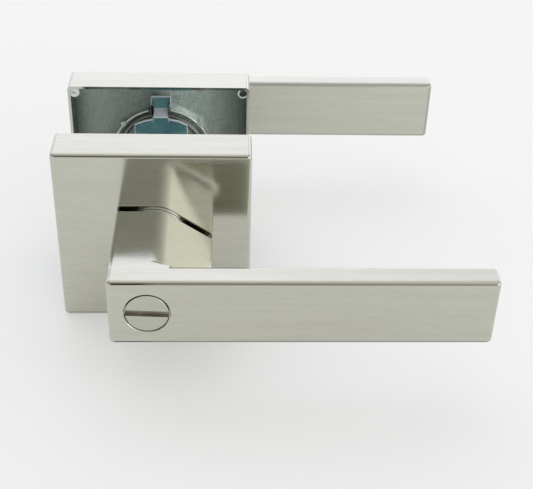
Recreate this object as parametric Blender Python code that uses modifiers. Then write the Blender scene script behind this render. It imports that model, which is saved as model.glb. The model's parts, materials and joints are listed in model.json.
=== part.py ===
"""A privacy lever set with square roses, both halves in place on a 35 mm door.

X runs along the levers, Y along the spindle from the outside (-Y) to the inside (+Y),
and Z up. The origin lies on the spindle's axis, at the middle of the door's thickness.

Each half is modelled once, in its own frame: y = 0 on the door's face and +y away from the
door. The outside half is the mirror image of the inside half.
"""

import math

import bmesh
import bpy
from mathutils import Matrix, Vector

MM = 0.001
GAP = 0.3 * MM
OVERLAP = 0.5 * MM
WELD = 0.00001

# Door and roses
DOOR_THICKNESS = 35 * MM
ROSE_SIDE = 66 * MM
ROSE_DEPTH = 14 * MM
ROSE_WALL = 1 * MM
ROSE_FACE = 2 * MM
ROSE_EDGE_ROUND = 1 * MM
FLOOR = ROSE_DEPTH - ROSE_FACE
CORNER_POST_RADIUS = 1.7 * MM
CORNER_POST_PLACE = 30.6 * MM
CORNER_DIMPLE_RADIUS = 0.9 * MM
CORNER_DIMPLE_DEPTH = 0.8 * MM
RING_RADIUS = 19.4 * MM
RING_WALL = 1 * MM
RING_TOP = 9.4 * MM
RING_NUB_RADIUS = 1 * MM
RING_NUB_ANGLE = 42

# Lever
AXIS_TO_HEEL = 12.3 * MM
AXIS_TO_TIP = 109.8 * MM
BLADE_HEIGHT = 24.6 * MM
BLADE_THICKNESS = 8.6 * MM
NECK_LENGTH = 32.7 * MM
SEAM = 1.6 * MM
LEVER_EDGE_ROUND = 0.8 * MM
ROUNDED_EDGE_ANGLE = 50
FLANK_TILT = 33
FLANK_DISTANCE = 12.1 * MM
SHOULDER_RADIUS = 9 * MM
NOSE_RADIUS = 2 * MM
NOSE_REACH = 20 * MM
ROOT_FILLET = 2.6 * MM
NECK_START = ROSE_DEPTH + SEAM
BLADE_BACK = ROSE_DEPTH + NECK_LENGTH
BLADE_FRONT = BLADE_BACK + BLADE_THICKNESS

# Hub, which carries the lever and turns in the rose
COLLAR_RADIUS = 12 * MM
SPIGOT_RADIUS = 7.5 * MM
SPIGOT_END = 23 * MM
FLANGE_RADIUS = 14.6 * MM
FLANGE_FRONT = 10.6 * MM
FLANGE_BACK = 9 * MM
SHANK_RADIUS = 7 * MM
SHANK_END = 3 * MM
GROOVE_RADIUS = 6.3 * MM
GROOVE_BACK = 3.8 * MM
GROOVE_FRONT = 4.8 * MM
EAR_HALF_WIDTH = 1.75 * MM
EAR_RADIUS = 9.6 * MM
SPRING_LUG_WIDTH = 3 * MM
SPRING_LUG_OUTER = 13.6 * MM

# Retainer plate behind the spring
PLATE_FRONT = 7.2 * MM
PLATE_THICKNESS = 1.2 * MM
PLATE_BACK = PLATE_FRONT - PLATE_THICKNESS
PLATE_TOP = 16.8 * MM
PLATE_TOP_HALF_WIDTH = 3.2 * MM
PLATE_BROW = 15.9 * MM
PLATE_BROW_HALF_WIDTH = 6.6 * MM
PLATE_SHOULDER = 14.3 * MM
PLATE_HALF_WIDTH = 10 * MM
TAB_HALF_WIDTH = 2.9 * MM
TAB_BEND_RADIUS = 17.6 * MM
TAB_REACH = 24 * MM
TAB_LAP = 2 * MM
TAB_BEND_SLANT = 0.4 * MM
FOOT_HALF_WIDTH = 3.8 * MM
FOOT_START = 20.1 * MM
FOOT_FRONT = FLOOR - GAP
FOOT_BACK = FOOT_FRONT - PLATE_THICKNESS
TURN_LIMIT = 45
STOP_CLEARANCE = 16

# Return spring
WIRE_RADIUS = 0.6 * MM
SPRING_RADIUS = 16.6 * MM
SPRING_FIRST = 11.05 * MM
SPRING_LAST = 8.2 * MM
SPRING_FIXED_X = -3.85 * MM
SPRING_FREE_ANGLE = 70
SPRING_LEG_INNER = 10.8 * MM
SPRING_LEG_OUTER = 19.7 * MM

# Spindle and privacy work
SPINDLE_SIDE = 8 * MM
SPINDLE_BORE_RADIUS = 2.5 * MM
SPINDLE_REACH = 22 * MM
ROD_WIDTH = 4 * MM
ROD_THICKNESS = 1.6 * MM
ROD_REACH = 36 * MM
ROD_END_SPACE = 2 * MM
DISC_RADIUS = 6.9 * MM
DISC_THICKNESS = 2.4 * MM
DISC_CHAMFER = 0.3 * MM
STEM_RADIUS = 3.2 * MM
STEM_END = 24.1 * MM
STEM_GROOVE_RADIUS = 2.7 * MM
SOCKET_END = 25.6 * MM
COIN_SLOT_WIDTH = 2.2 * MM
COIN_SLOT_DEPTH = 1.4 * MM
SLOT_TILT = 2.5
FIN_HALF_LENGTH = 5.6 * MM
FIN_HALF_WIDTH = 1.7 * MM
FIN_HEIGHT = 6.5 * MM

# Fasteners
SET_SCREW_RADIUS = 2.5 * MM
SET_SCREW_PLACE = 19 * MM
SET_SCREW_SINK = 0.8 * MM
HEX_RADIUS = 1.45 * MM
HEX_DEPTH = 2 * MM
HEX_SIDES = 6
BOLT_PLACE = 23.2 * MM
BOLT_RADIUS = 1.9 * MM
BOLT_HEAD_RADIUS = 4 * MM
BOLT_HEAD_HEIGHT = 2.1 * MM
BOLT_LENGTH = 39.4 * MM
RECESS_HALF_LENGTH = 2.4 * MM
RECESS_HALF_WIDTH = 0.52 * MM
RECESS_DEPTH = 1.05 * MM
POST_RADIUS = 3 * MM
POST_INTO_DOOR = 25 * MM
POST_BORE_SPARE = 3 * MM
BOSS_RADIUS = 4.2 * MM
BOSS_TOP = 9 * MM

# Bush, washer and clips
BUSH_OUTER = 15 * MM
BUSH_BACK = 10.9 * MM
WASHER_OUTER = 10.5 * MM
WASHER_THICKNESS = 0.7 * MM
CIRCLIP_OUTER = 8.6 * MM
CIRCLIP_THICKNESS = 0.7 * MM
CIRCLIP_OPENING = 70
STEM_CLIP_OUTER = 5.4 * MM
STEM_CLIP_THICKNESS = 0.6 * MM

LARGE_STEPS = 36
MEDIUM_STEPS = 24
SMALL_STEPS = 16
FILLET_STEPS = 6
SHOULDER_STEPS = 6
NOSE_STEPS = 4
EAR_SWING_STEPS = 14
SHANK_ARC_STEPS = 5
ROSE_ROUND_SEGMENTS = 3
LEVER_ROUND_SEGMENTS = 2
WIRE_RESOLUTION = 2
ROUND_PROFILE = 0.5
COIL_STEPS = 50
COIL_TURNS = 2


# ---------------------------------------------------------------- scene helpers


def clear_scene():
    for obj in list(bpy.data.objects):
        bpy.data.objects.remove(obj, do_unlink=True)


def new_collection(name):
    collection = bpy.data.collections.new(name)
    bpy.context.scene.collection.children.link(collection)
    return collection


def new_material(name, colour, roughness, metallic):
    material = bpy.data.materials.new(name)
    material.use_nodes = True
    shader = material.node_tree.nodes["Principled BSDF"]
    shader.inputs["Base Color"].default_value = (*colour, 1)
    shader.inputs["Roughness"].default_value = roughness
    shader.inputs["Metallic"].default_value = metallic
    material.diffuse_color = (*colour, 1)
    return material


def new_empty(name, location, parent=None):
    empty = bpy.data.objects.new(name, None)
    empty.empty_display_size = 5 * MM
    empty.location = location
    empty.parent = parent
    PARTS.objects.link(empty)
    return empty


def add_part(name, data, parent, material):
    """A piece that becomes a node."""
    part = bpy.data.objects.new(name, data)
    part.parent = parent
    data.materials.append(material)
    PARTS.objects.link(part)
    return part


def add_helper(name, data, parent):
    """A shape that only cuts or joins a piece."""
    helper = bpy.data.objects.new(name, data)
    helper.parent = parent
    helper.hide_render = True
    helper.display_type = "WIRE"
    HELPERS.objects.link(helper)
    return helper


def boolean(target, other, operation):
    modifier = target.modifiers.new(other.name, "BOOLEAN")
    modifier.operation = operation
    modifier.solver = "EXACT"
    modifier.object = other


def join(target, *others):
    for other in others:
        boolean(target, other, "UNION")


def cut(target, *others):
    for other in others:
        boolean(target, other, "DIFFERENCE")


# ---------------------------------------------------------------- shape helpers


def mesh_of(name, bm):
    bmesh.ops.recalc_face_normals(bm, faces=bm.faces)
    mesh = bpy.data.meshes.new(name)
    bm.to_mesh(mesh)
    bm.free()
    return mesh


def add_box(bm, low, high):
    """A box between two corners, put into bm."""
    low = Vector(low)
    high = Vector(high)
    size = Matrix.Diagonal(high - low).to_4x4()
    return bmesh.ops.create_cube(bm, size=1, matrix=Matrix.Translation((low + high) / 2) @ size)


def box_mesh(name, low, high):
    bm = bmesh.new()
    add_box(bm, low, high)
    return mesh_of(name, bm)


def add_cylinder(bm, radius, start, end, steps, end_radius=None):
    """A cylinder or cone between two points, put into bm."""
    start = Vector(start)
    axis = Vector(end) - start
    turn = axis.to_track_quat("Z", "Y").to_matrix().to_4x4()
    bmesh.ops.create_cone(
        bm,
        cap_ends=True,
        segments=steps,
        radius1=radius,
        radius2=radius if end_radius is None else end_radius,
        depth=axis.length,
        matrix=Matrix.Translation(start + axis / 2) @ turn,
    )


def cylinder_mesh(name, radius, start, end, steps):
    bm = bmesh.new()
    add_cylinder(bm, radius, start, end, steps)
    return mesh_of(name, bm)


def prism_mesh(name, outline, normal):
    """The outline, a list of points in one plane, pushed along the vector normal."""
    bm = bmesh.new()
    face = bm.faces.new([bm.verts.new(point) for point in outline])
    pushed = bmesh.ops.extrude_face_region(bm, geom=[face])
    moved = [item for item in pushed["geom"] if isinstance(item, bmesh.types.BMVert)]
    bmesh.ops.translate(bm, verts=moved, vec=normal)
    return mesh_of(name, bm)


def make_turned(obj, steps):
    """Spins the object's profile, drawn in its XZ plane, and lays its Z axis along the spindle."""
    obj.rotation_euler.x = -math.pi / 2
    screw = obj.modifiers.new("turn", "SCREW")
    screw.axis = "Z"
    screw.angle = 2 * math.pi
    screw.steps = steps
    screw.render_steps = steps
    screw.use_merge_vertices = True
    screw.merge_threshold = WELD
    screw.use_smooth_shade = False


def profile_mesh(name, points, closed):
    """The (radius, y) points of a turned shape, outer side first, from the far end inwards."""
    mesh = bpy.data.meshes.new(name)
    edges = [(i, i + 1) for i in range(len(points) - 1)]
    if closed:
        edges.append((len(points) - 1, 0))
    mesh.from_pydata([(radius, 0, height) for radius, height in points], edges, [])
    return mesh


def turned_part(name, points, parent, material, steps, closed=False):
    part = add_part(name, profile_mesh(name, points, closed), parent, material)
    make_turned(part, steps)
    return part


def turned_helper(name, points, parent, steps, closed=False):
    helper = add_helper(name, profile_mesh(name, points, closed), parent)
    make_turned(helper, steps)
    return helper


def ring_points(inner, outer, back, front):
    return [(outer, front), (outer, back), (inner, back), (inner, front)]


def polar(radius, degrees):
    """(x, z) at an angle from +X towards +Z."""
    angle = math.radians(degrees)
    return radius * math.cos(angle), radius * math.sin(angle)


def arc(radius, start, end, count, centre=(0, 0)):
    """count + 1 points (x, z) along an arc, both ends included."""
    points = []
    for i in range(count + 1):
        x, z = polar(radius, start + (end - start) * i / count)
        points.append((centre[0] + x, centre[1] + z))
    return points


def flat_curve(name, outlines, back, front):
    """A flat piece in the XZ plane: the first outline is its edge, the others are holes."""
    curve = bpy.data.curves.new(name, "CURVE")
    curve.dimensions = "2D"
    curve.fill_mode = "BOTH"
    curve.extrude = (front - back) / 2
    for outline in outlines:
        spline = curve.splines.new("POLY")
        spline.points.add(len(outline) - 1)
        for point, (x, z) in zip(spline.points, outline):
            point.co = (x, z, 0, 1)
        spline.use_cyclic_u = True
    return curve


def flat_mesh(name, outlines, back, front):
    """flat_curve as a closed mesh, already standing in the XZ plane between back and front."""
    curve = flat_curve(name, outlines, back, front)
    holder = bpy.data.objects.new(name, curve)
    bpy.context.scene.collection.objects.link(holder)
    graph = bpy.context.evaluated_depsgraph_get()
    mesh = bpy.data.meshes.new_from_object(holder.evaluated_get(graph))
    bpy.data.objects.remove(holder)
    bpy.data.curves.remove(curve)
    mesh.name = name
    stand = Matrix.Rotation(math.pi / 2, 4, "X")
    mesh.transform(Matrix.Translation((0, (back + front) / 2, 0)) @ stand)
    bm = bmesh.new()
    bm.from_mesh(mesh)
    bmesh.ops.remove_doubles(bm, verts=bm.verts, dist=WELD)
    bmesh.ops.recalc_face_normals(bm, faces=bm.faces)
    bm.to_mesh(mesh)
    bm.free()
    return mesh


# ---------------------------------------------------------------- roses


def rose_block_mesh(name):
    """The rose's outer block, rounded everywhere but round the rim that meets the door."""
    half = ROSE_SIDE / 2
    bm = bmesh.new()
    add_box(bm, (-half, 0, -half), (half, ROSE_DEPTH, half))
    rounded = [edge for edge in bm.edges if max(v.co.y for v in edge.verts) > FLOOR]
    bmesh.ops.bevel(
        bm,
        geom=rounded,
        offset=ROSE_EDGE_ROUND,
        segments=ROSE_ROUND_SEGMENTS,
        profile=ROUND_PROFILE,
        affect="EDGES",
    )
    return mesh_of(name, bm)


def make_rose(side, parent):
    """A cast shell with a raised ring, corner posts and screw bosses inside."""
    name = side + "_rose"
    rose = add_part(name, rose_block_mesh(name), parent, NICKEL)
    inner = ROSE_SIDE / 2 - ROSE_WALL
    hollow = box_mesh(name + "_hollow", (-inner, -OVERLAP, -inner), (inner, FLOOR, inner))
    cut(rose, add_helper(name + "_hollow", hollow, parent))

    root = FLOOR + OVERLAP
    ring = ring_points(RING_RADIUS - RING_WALL, RING_RADIUS, RING_TOP, root)
    join(rose, turned_helper(name + "_ring", ring, parent, LARGE_STEPS, closed=True))

    bm = bmesh.new()
    for angle in (RING_NUB_ANGLE, 180 - RING_NUB_ANGLE, -RING_NUB_ANGLE, RING_NUB_ANGLE - 180):
        x, z = polar(RING_RADIUS, angle)
        add_cylinder(bm, RING_NUB_RADIUS, (x, RING_TOP - GAP, z), (x, root, z), SMALL_STEPS // 2)
    join(rose, add_helper(name + "_nubs", mesh_of(name + "_nubs", bm), parent))

    bm = bmesh.new()
    for x in (-BOLT_PLACE, BOLT_PLACE):
        add_cylinder(bm, BOSS_RADIUS, (x, BOSS_TOP, 0), (x, root, 0), SMALL_STEPS)
    join(rose, add_helper(name + "_bosses", mesh_of(name + "_bosses", bm), parent))

    places = (-CORNER_POST_PLACE, CORNER_POST_PLACE)
    corners = [(x, z) for x in places for z in places]
    bm = bmesh.new()
    for x, z in corners:
        add_cylinder(bm, CORNER_POST_RADIUS, (x, GAP, z), (x, root, z), SMALL_STEPS)
    join(rose, add_helper(name + "_corner_posts", mesh_of(name + "_corner_posts", bm), parent))

    bm = bmesh.new()
    bottom = GAP + CORNER_DIMPLE_DEPTH
    for x, z in corners:
        add_cylinder(bm, CORNER_DIMPLE_RADIUS, (x, -OVERLAP, z), (x, bottom, z), SMALL_STEPS // 2)
    dimples = add_helper(name + "_dimples", mesh_of(name + "_dimples", bm), parent)

    bm = bmesh.new()
    front = ROSE_DEPTH + OVERLAP
    add_cylinder(bm, COLLAR_RADIUS + GAP, (0, RING_TOP, 0), (0, front, 0), LARGE_STEPS)
    hole = add_helper(name + "_hole", mesh_of(name + "_hole", bm), parent)

    bm = bmesh.new()
    notch_left = SPRING_FIXED_X - WIRE_RADIUS - GAP
    notch_right = TAB_HALF_WIDTH + GAP
    for wall_z in (RING_RADIUS - RING_WALL, -RING_RADIUS):
        low = (notch_left, RING_TOP - OVERLAP, wall_z - RING_WALL)
        add_box(bm, low, (notch_right, FLOOR - WELD, wall_z + 2 * RING_WALL))
    notches = add_helper(name + "_notches", mesh_of(name + "_notches", bm), parent)
    cut(rose, dimples, hole, notches)
    return rose


def cut_post_sockets(rose, parent):
    """Blind sockets in the outside rose's bosses, where the posts are fixed."""
    bm = bmesh.new()
    for x in (-BOLT_PLACE, BOLT_PLACE):
        add_cylinder(bm, POST_RADIUS + GAP, (x, BOSS_TOP - OVERLAP, 0), (x, FLOOR, 0), SMALL_STEPS)
    cut(rose, add_helper("outside_rose_sockets", mesh_of("outside_rose_sockets", bm), parent))


def cut_bolt_holes(rose, parent):
    """Countersunk holes through the inside rose for the bolts."""
    sink = BOLT_HEAD_RADIUS + GAP
    narrow = BOLT_RADIUS + GAP
    for x, word in ((-BOLT_PLACE, "left"), (BOLT_PLACE, "right")):
        front = ROSE_DEPTH + OVERLAP
        shape = [
            (0, front),
            (sink, front),
            (sink, ROSE_DEPTH - GAP),
            (narrow, ROSE_DEPTH - BOLT_HEAD_HEIGHT - GAP),
            (narrow, BOSS_TOP - OVERLAP),
            (0, BOSS_TOP - OVERLAP),
        ]
        hole = turned_helper("inside_rose_bolt_hole_" + word, shape, parent, SMALL_STEPS)
        hole.location.x = x
        cut(rose, hole)


# ---------------------------------------------------------------- levers


def neck_outline(grow):
    """The neck's section (x, z), top half mirrored below, swollen sideways by grow.

    A flat top runs into a shoulder, a straight flank that falls towards the tip, and a
    small round nose. No point rises above the blade's top.
    """
    top = BLADE_HEIGHT / 2
    normal_angle = 90 - FLANK_TILT
    normal = Vector(polar(1, normal_angle))
    shoulder_z = top - SHOULDER_RADIUS
    shoulder_x = (FLANK_DISTANCE - SHOULDER_RADIUS - normal.y * shoulder_z) / normal.x
    nose_x = NOSE_REACH - NOSE_RADIUS
    upper = arc(SHOULDER_RADIUS + grow, 90, normal_angle, SHOULDER_STEPS, (shoulder_x, shoulder_z))
    upper += arc(NOSE_RADIUS + grow, normal_angle, 0, NOSE_STEPS, (nose_x, 0))
    upper = [(x, min(z, top)) for x, z in upper]
    lower = [(x, -z) for x, z in reversed(upper[:-1])]
    return [(-AXIS_TO_HEEL, top)] + upper + lower + [(-AXIS_TO_HEEL, -top)]


def neck_mesh(name):
    """Neck from the seam to just inside the blade, with a fillet where it meets the blade's back."""
    stations = [(NECK_START, 0)]
    for i in range(FILLET_STEPS + 1):
        turn = math.pi / 2 * i / FILLET_STEPS
        y = BLADE_BACK - ROOT_FILLET * (1 - math.sin(turn))
        stations.append((y, ROOT_FILLET * (1 - math.cos(turn))))
    stations.append((BLADE_BACK + OVERLAP, ROOT_FILLET))
    bm = bmesh.new()
    loops = []
    for y, grow in stations:
        loops.append([bm.verts.new((x, y, z)) for x, z in neck_outline(grow)])
    for first, second in zip(loops, loops[1:]):
        for i in range(len(first)):
            j = (i + 1) % len(first)
            bm.faces.new((first[i], first[j], second[j], second[i]))
    bm.faces.new(loops[0])
    bm.faces.new(loops[-1])
    return mesh_of(name, bm)


def make_lever(side, parent):
    """Neck and blade in one casting, bored for the hub, the stem and the disc."""
    name = side + "_lever"
    half = BLADE_HEIGHT / 2
    low = (-AXIS_TO_HEEL, BLADE_BACK, -half)
    high = (AXIS_TO_TIP, BLADE_FRONT, half)
    lever = add_part(name, box_mesh(name, low, high), parent, NICKEL)
    join(lever, add_helper(name + "_neck", neck_mesh(name + "_neck"), parent))
    edges = lever.modifiers.new("edges", "BEVEL")
    edges.width = LEVER_EDGE_ROUND
    edges.segments = LEVER_ROUND_SEGMENTS
    edges.limit_method = "ANGLE"
    edges.angle_limit = math.radians(ROUNDED_EDGE_ANGLE)

    bm = bmesh.new()
    start = NECK_START - OVERLAP
    add_cylinder(bm, SPIGOT_RADIUS + GAP, (0, start, 0), (0, SOCKET_END, 0), MEDIUM_STEPS)
    socket = add_helper(name + "_socket", mesh_of(name + "_socket", bm), parent)
    seat = BLADE_FRONT - DISC_THICKNESS - GAP
    bm = bmesh.new()
    add_cylinder(bm, STEM_RADIUS + GAP, (0, SOCKET_END - OVERLAP, 0), (0, seat + OVERLAP, 0), SMALL_STEPS)
    bore = add_helper(name + "_stem_bore", mesh_of(name + "_stem_bore", bm), parent)
    bm = bmesh.new()
    front = BLADE_FRONT + OVERLAP
    add_cylinder(bm, DISC_RADIUS + GAP, (0, seat, 0), (0, front, 0), MEDIUM_STEPS)
    pocket = add_helper(name + "_disc_pocket", mesh_of(name + "_disc_pocket", bm), parent)
    bm = bmesh.new()
    add_cylinder(
        bm,
        SET_SCREW_RADIUS + GAP,
        (0, SET_SCREW_PLACE, -half - OVERLAP),
        (0, SET_SCREW_PLACE, -SPIGOT_RADIUS),
        SMALL_STEPS,
    )
    thread = add_helper(name + "_screw_hole", mesh_of(name + "_screw_hole", bm), parent)
    cut(lever, socket, bore, pocket, thread)
    return lever


def make_set_screw(side, parent):
    """A grub screw in the neck's underside, with a hexagon socket."""
    name = side + "_set_screw"
    outer = -BLADE_HEIGHT / 2 + SET_SCREW_SINK
    inner = -SPIGOT_RADIUS - GAP
    mesh = cylinder_mesh(
        name, SET_SCREW_RADIUS, (0, SET_SCREW_PLACE, outer), (0, SET_SCREW_PLACE, inner), SMALL_STEPS
    )
    screw = add_part(name, mesh, parent, DARK_STEEL)
    socket = cylinder_mesh(
        name + "_hex",
        HEX_RADIUS,
        (0, SET_SCREW_PLACE, outer - OVERLAP),
        (0, SET_SCREW_PLACE, outer + HEX_DEPTH),
        HEX_SIDES,
    )
    cut(screw, add_helper(name + "_hex", socket, parent))


# ---------------------------------------------------------------- hub and return work


def free_leg_frame():
    """Rotation that lays +X along the spring's free leg."""
    return Matrix.Rotation(math.radians(-SPRING_FREE_ANGLE), 4, "Y")


def make_hub(side, parent):
    """A turned hub with a square bore, two stop ears and a lug for the spring."""
    name = side + "_hub"
    profile = [
        (0, SPIGOT_END),
        (SPIGOT_RADIUS, SPIGOT_END),
        (SPIGOT_RADIUS, NECK_START - GAP),
        (COLLAR_RADIUS, NECK_START - GAP),
        (COLLAR_RADIUS, FLANGE_FRONT),
        (FLANGE_RADIUS, FLANGE_FRONT),
        (FLANGE_RADIUS, FLANGE_BACK),
        (SHANK_RADIUS, FLANGE_BACK),
        (SHANK_RADIUS, GROOVE_FRONT),
        (GROOVE_RADIUS, GROOVE_FRONT),
        (GROOVE_RADIUS, GROOVE_BACK),
        (SHANK_RADIUS, GROOVE_BACK),
        (SHANK_RADIUS, SHANK_END),
        (0, SHANK_END),
    ]
    hub = turned_part(name, profile, parent, NICKEL, LARGE_STEPS)
    low = (-EAR_HALF_WIDTH, PLATE_BACK, -EAR_RADIUS)
    high = (EAR_HALF_WIDTH, PLATE_FRONT + GAP, EAR_RADIUS)
    ears = add_helper(name + "_ears", box_mesh(name + "_ears", low, high), parent)

    offset = WIRE_RADIUS + GAP
    low = (SPRING_LEG_INNER, PLATE_FRONT + GAP, offset)
    high = (SPRING_LUG_OUTER, FLANGE_BACK + OVERLAP, offset + SPRING_LUG_WIDTH)
    lug_mesh = box_mesh(name + "_lug", low, high)
    lug_mesh.transform(free_leg_frame())
    lug = add_helper(name + "_lug", lug_mesh, parent)
    join(hub, ears, lug)

    reach = SPINDLE_SIDE / 2 + GAP
    low = (-reach, SHANK_END - OVERLAP, -reach)
    bore = box_mesh(name + "_bore", low, (reach, SPIGOT_END + OVERLAP, reach))
    cut(hub, add_helper(name + "_bore", bore, parent))


def plate_outline():
    """Ends that fall away on both sides of the tab, and straight sides."""
    right = [
        (PLATE_HALF_WIDTH, PLATE_SHOULDER),
        (PLATE_BROW_HALF_WIDTH, PLATE_BROW),
        (PLATE_TOP_HALF_WIDTH, PLATE_TOP),
    ]
    upper = right + [(-x, z) for x, z in reversed(right)]
    return upper + [(-x, -z) for x, z in upper]


def plate_hole():
    """A round hole with a wide sector above and below, in which the hub's ears swing."""
    swing = TURN_LIMIT + STOP_CLEARANCE
    points = arc(EAR_RADIUS + GAP, 90 - swing, 90 + swing, EAR_SWING_STEPS)
    points += arc(SHANK_RADIUS + GAP, 90 + swing, 270 - swing, SHANK_ARC_STEPS)
    points += arc(EAR_RADIUS + GAP, 270 - swing, 270 + swing, EAR_SWING_STEPS)
    points += arc(SHANK_RADIUS + GAP, 270 + swing, 450 - swing, SHANK_ARC_STEPS)
    return points


def tab_outline(sign):
    """Side view (z, y) of one bent tab: off the plate's edge, down a step, out along the floor."""
    inside = PLATE_TOP - TAB_LAP
    line = [
        (inside, PLATE_BACK),
        (TAB_BEND_RADIUS, PLATE_BACK),
        (TAB_BEND_RADIUS + PLATE_THICKNESS, FOOT_BACK),
        (TAB_REACH, FOOT_BACK),
        (TAB_REACH, FOOT_FRONT),
        (TAB_BEND_RADIUS + TAB_BEND_SLANT, FOOT_FRONT),
        (TAB_BEND_RADIUS - TAB_BEND_SLANT, PLATE_FRONT),
        (inside, PLATE_FRONT),
    ]
    return [(-TAB_HALF_WIDTH, y, sign * z) for z, y in line]


def make_spring_plate(side, parent):
    """The plate, and on each tab a foot that widens beyond the rose's ring."""
    name = side + "_spring_plate"
    mesh = flat_mesh(name, [plate_outline(), plate_hole()], PLATE_BACK, PLATE_FRONT)
    plate = add_part(name, mesh, parent, ZINC_PLATE)
    for sign, word in ((1, "upper"), (-1, "lower")):
        tab_name = name + "_" + word + "_tab"
        tab = prism_mesh(tab_name, tab_outline(sign), (2 * TAB_HALF_WIDTH, 0, 0))
        near, far = sorted((sign * FOOT_START, sign * TAB_REACH))
        low = (-FOOT_HALF_WIDTH, FOOT_BACK, near)
        foot_name = name + "_" + word + "_foot"
        foot = box_mesh(foot_name, low, (FOOT_HALF_WIDTH, FOOT_FRONT, far))
        join(plate, add_helper(tab_name, tab, parent), add_helper(foot_name, foot, parent))


def make_return_spring(side, parent):
    """Two coils: the fixed leg lies in the ring's notch, the free leg presses on the hub's lug."""
    name = side + "_return_spring"
    start = math.degrees(math.acos(SPRING_FIXED_X / SPRING_RADIUS))
    end = SPRING_FREE_ANGLE + 360 * COIL_TURNS
    curve = bpy.data.curves.new(name, "CURVE")
    curve.dimensions = "3D"
    curve.bevel_depth = WIRE_RADIUS
    curve.bevel_resolution = WIRE_RESOLUTION
    curve.use_fill_caps = True
    points = [(SPRING_FIXED_X, SPRING_FIRST, SPRING_LEG_OUTER)]
    for i in range(COIL_STEPS + 1):
        share = i / COIL_STEPS
        x, z = polar(SPRING_RADIUS, start + (end - start) * share)
        points.append((x, SPRING_FIRST + (SPRING_LAST - SPRING_FIRST) * share, z))
    x, z = polar(SPRING_LEG_INNER, end)
    points.append((x, SPRING_LAST, z))
    spline = curve.splines.new("POLY")
    spline.points.add(len(points) - 1)
    for point, place in zip(spline.points, points):
        point.co = (*place, 1)
    add_part(name, curve, parent, SPRING_STEEL)


def make_bush(side, parent):
    ring = ring_points(COLLAR_RADIUS + GAP, BUSH_OUTER, BUSH_BACK, FLOOR - GAP)
    turned_part(side + "_bush", ring, parent, NYLON, LARGE_STEPS, closed=True)


def make_washer(side, parent):
    front = PLATE_BACK - GAP
    ring = ring_points(SHANK_RADIUS + GAP, WASHER_OUTER, front - WASHER_THICKNESS, front)
    turned_part(side + "_washer", ring, parent, ZINC_PLATE, MEDIUM_STEPS, closed=True)


def open_ring(inner, outer, opening, count):
    """A clip's outline, open at the bottom."""
    start = 270 + opening / 2
    end = 630 - opening / 2
    return arc(outer, start, end, count) + arc(inner, end, start, count)


def make_circlip(side, parent):
    name = side + "_circlip"
    middle = (GROOVE_BACK + GROOVE_FRONT) / 2
    half = CIRCLIP_THICKNESS / 2
    outline = open_ring(GROOVE_RADIUS + GAP, CIRCLIP_OUTER, CIRCLIP_OPENING, MEDIUM_STEPS)
    add_part(name, flat_mesh(name, [outline], middle - half, middle + half), parent, SPRING_STEEL)


# ---------------------------------------------------------------- privacy work


def stem_profile():
    """(radius, y) of a disc on a grooved stem."""
    back = BLADE_FRONT - DISC_THICKNESS
    groove_front = SOCKET_END - GAP / 2
    groove_back = groove_front - STEM_CLIP_THICKNESS - GAP
    return [
        (0, BLADE_FRONT),
        (DISC_RADIUS - DISC_CHAMFER, BLADE_FRONT),
        (DISC_RADIUS, BLADE_FRONT - DISC_CHAMFER),
        (DISC_RADIUS, back),
        (STEM_RADIUS, back),
        (STEM_RADIUS, groove_front),
        (STEM_GROOVE_RADIUS, groove_front),
        (STEM_GROOVE_RADIUS, groove_back),
        (STEM_RADIUS, groove_back),
        (STEM_RADIUS, STEM_END),
        (0, STEM_END),
    ]


def make_stemmed_disc(name, parent):
    """A disc on a stem whose end takes the flat rod."""
    disc = turned_part(name, stem_profile(), parent, NICKEL, MEDIUM_STEPS)
    half_width = ROD_WIDTH / 2 + GAP
    half_thickness = ROD_THICKNESS / 2 + GAP
    low = (-half_width, STEM_END - OVERLAP, -half_thickness)
    high = (half_width, ROD_REACH + ROD_END_SPACE, half_thickness)
    cut(disc, add_helper(name + "_rod_slot", box_mesh(name + "_rod_slot", low, high), parent))
    return disc


def make_release_disc(parent):
    """The outside disc, with a coin slot right across it."""
    disc = make_stemmed_disc("release_disc", parent)
    half = COIN_SLOT_WIDTH / 2
    reach = DISC_RADIUS + OVERLAP
    low = (-reach, BLADE_FRONT - COIN_SLOT_DEPTH, -half)
    high = (reach, BLADE_FRONT + OVERLAP, half)
    slot = box_mesh("release_disc_coin_slot", low, high)
    cut(disc, add_helper("release_disc_coin_slot", slot, parent))


def make_turn_button(parent):
    """The inside disc, with a fin for the thumb."""
    button = make_stemmed_disc("turn_button", parent)
    bm = bmesh.new()
    add_box(
        bm,
        (-FIN_HALF_LENGTH, BLADE_FRONT - OVERLAP, -FIN_HALF_WIDTH),
        (FIN_HALF_LENGTH, BLADE_FRONT + FIN_HEIGHT, FIN_HALF_WIDTH),
    )
    bmesh.ops.bevel(
        bm,
        geom=bm.edges[:],
        offset=LEVER_EDGE_ROUND,
        segments=LEVER_ROUND_SEGMENTS,
        profile=ROUND_PROFILE,
        affect="EDGES",
    )
    join(button, add_helper("turn_button_fin", mesh_of("turn_button_fin", bm), parent))


def make_stem_clip(name, parent):
    front = SOCKET_END - GAP
    outline = open_ring(STEM_GROOVE_RADIUS + GAP, STEM_CLIP_OUTER, CIRCLIP_OPENING, SMALL_STEPS)
    mesh = flat_mesh(name, [outline], front - STEM_CLIP_THICKNESS, front)
    add_part(name, mesh, parent, SPRING_STEEL)


def make_lock_rod(parent):
    reach = DOOR_THICKNESS / 2 + ROD_REACH
    low = (-ROD_WIDTH / 2, -reach, -ROD_THICKNESS / 2)
    high = (ROD_WIDTH / 2, reach, ROD_THICKNESS / 2)
    add_part("lock_rod", box_mesh("lock_rod", low, high), parent, SPRING_STEEL)


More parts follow.
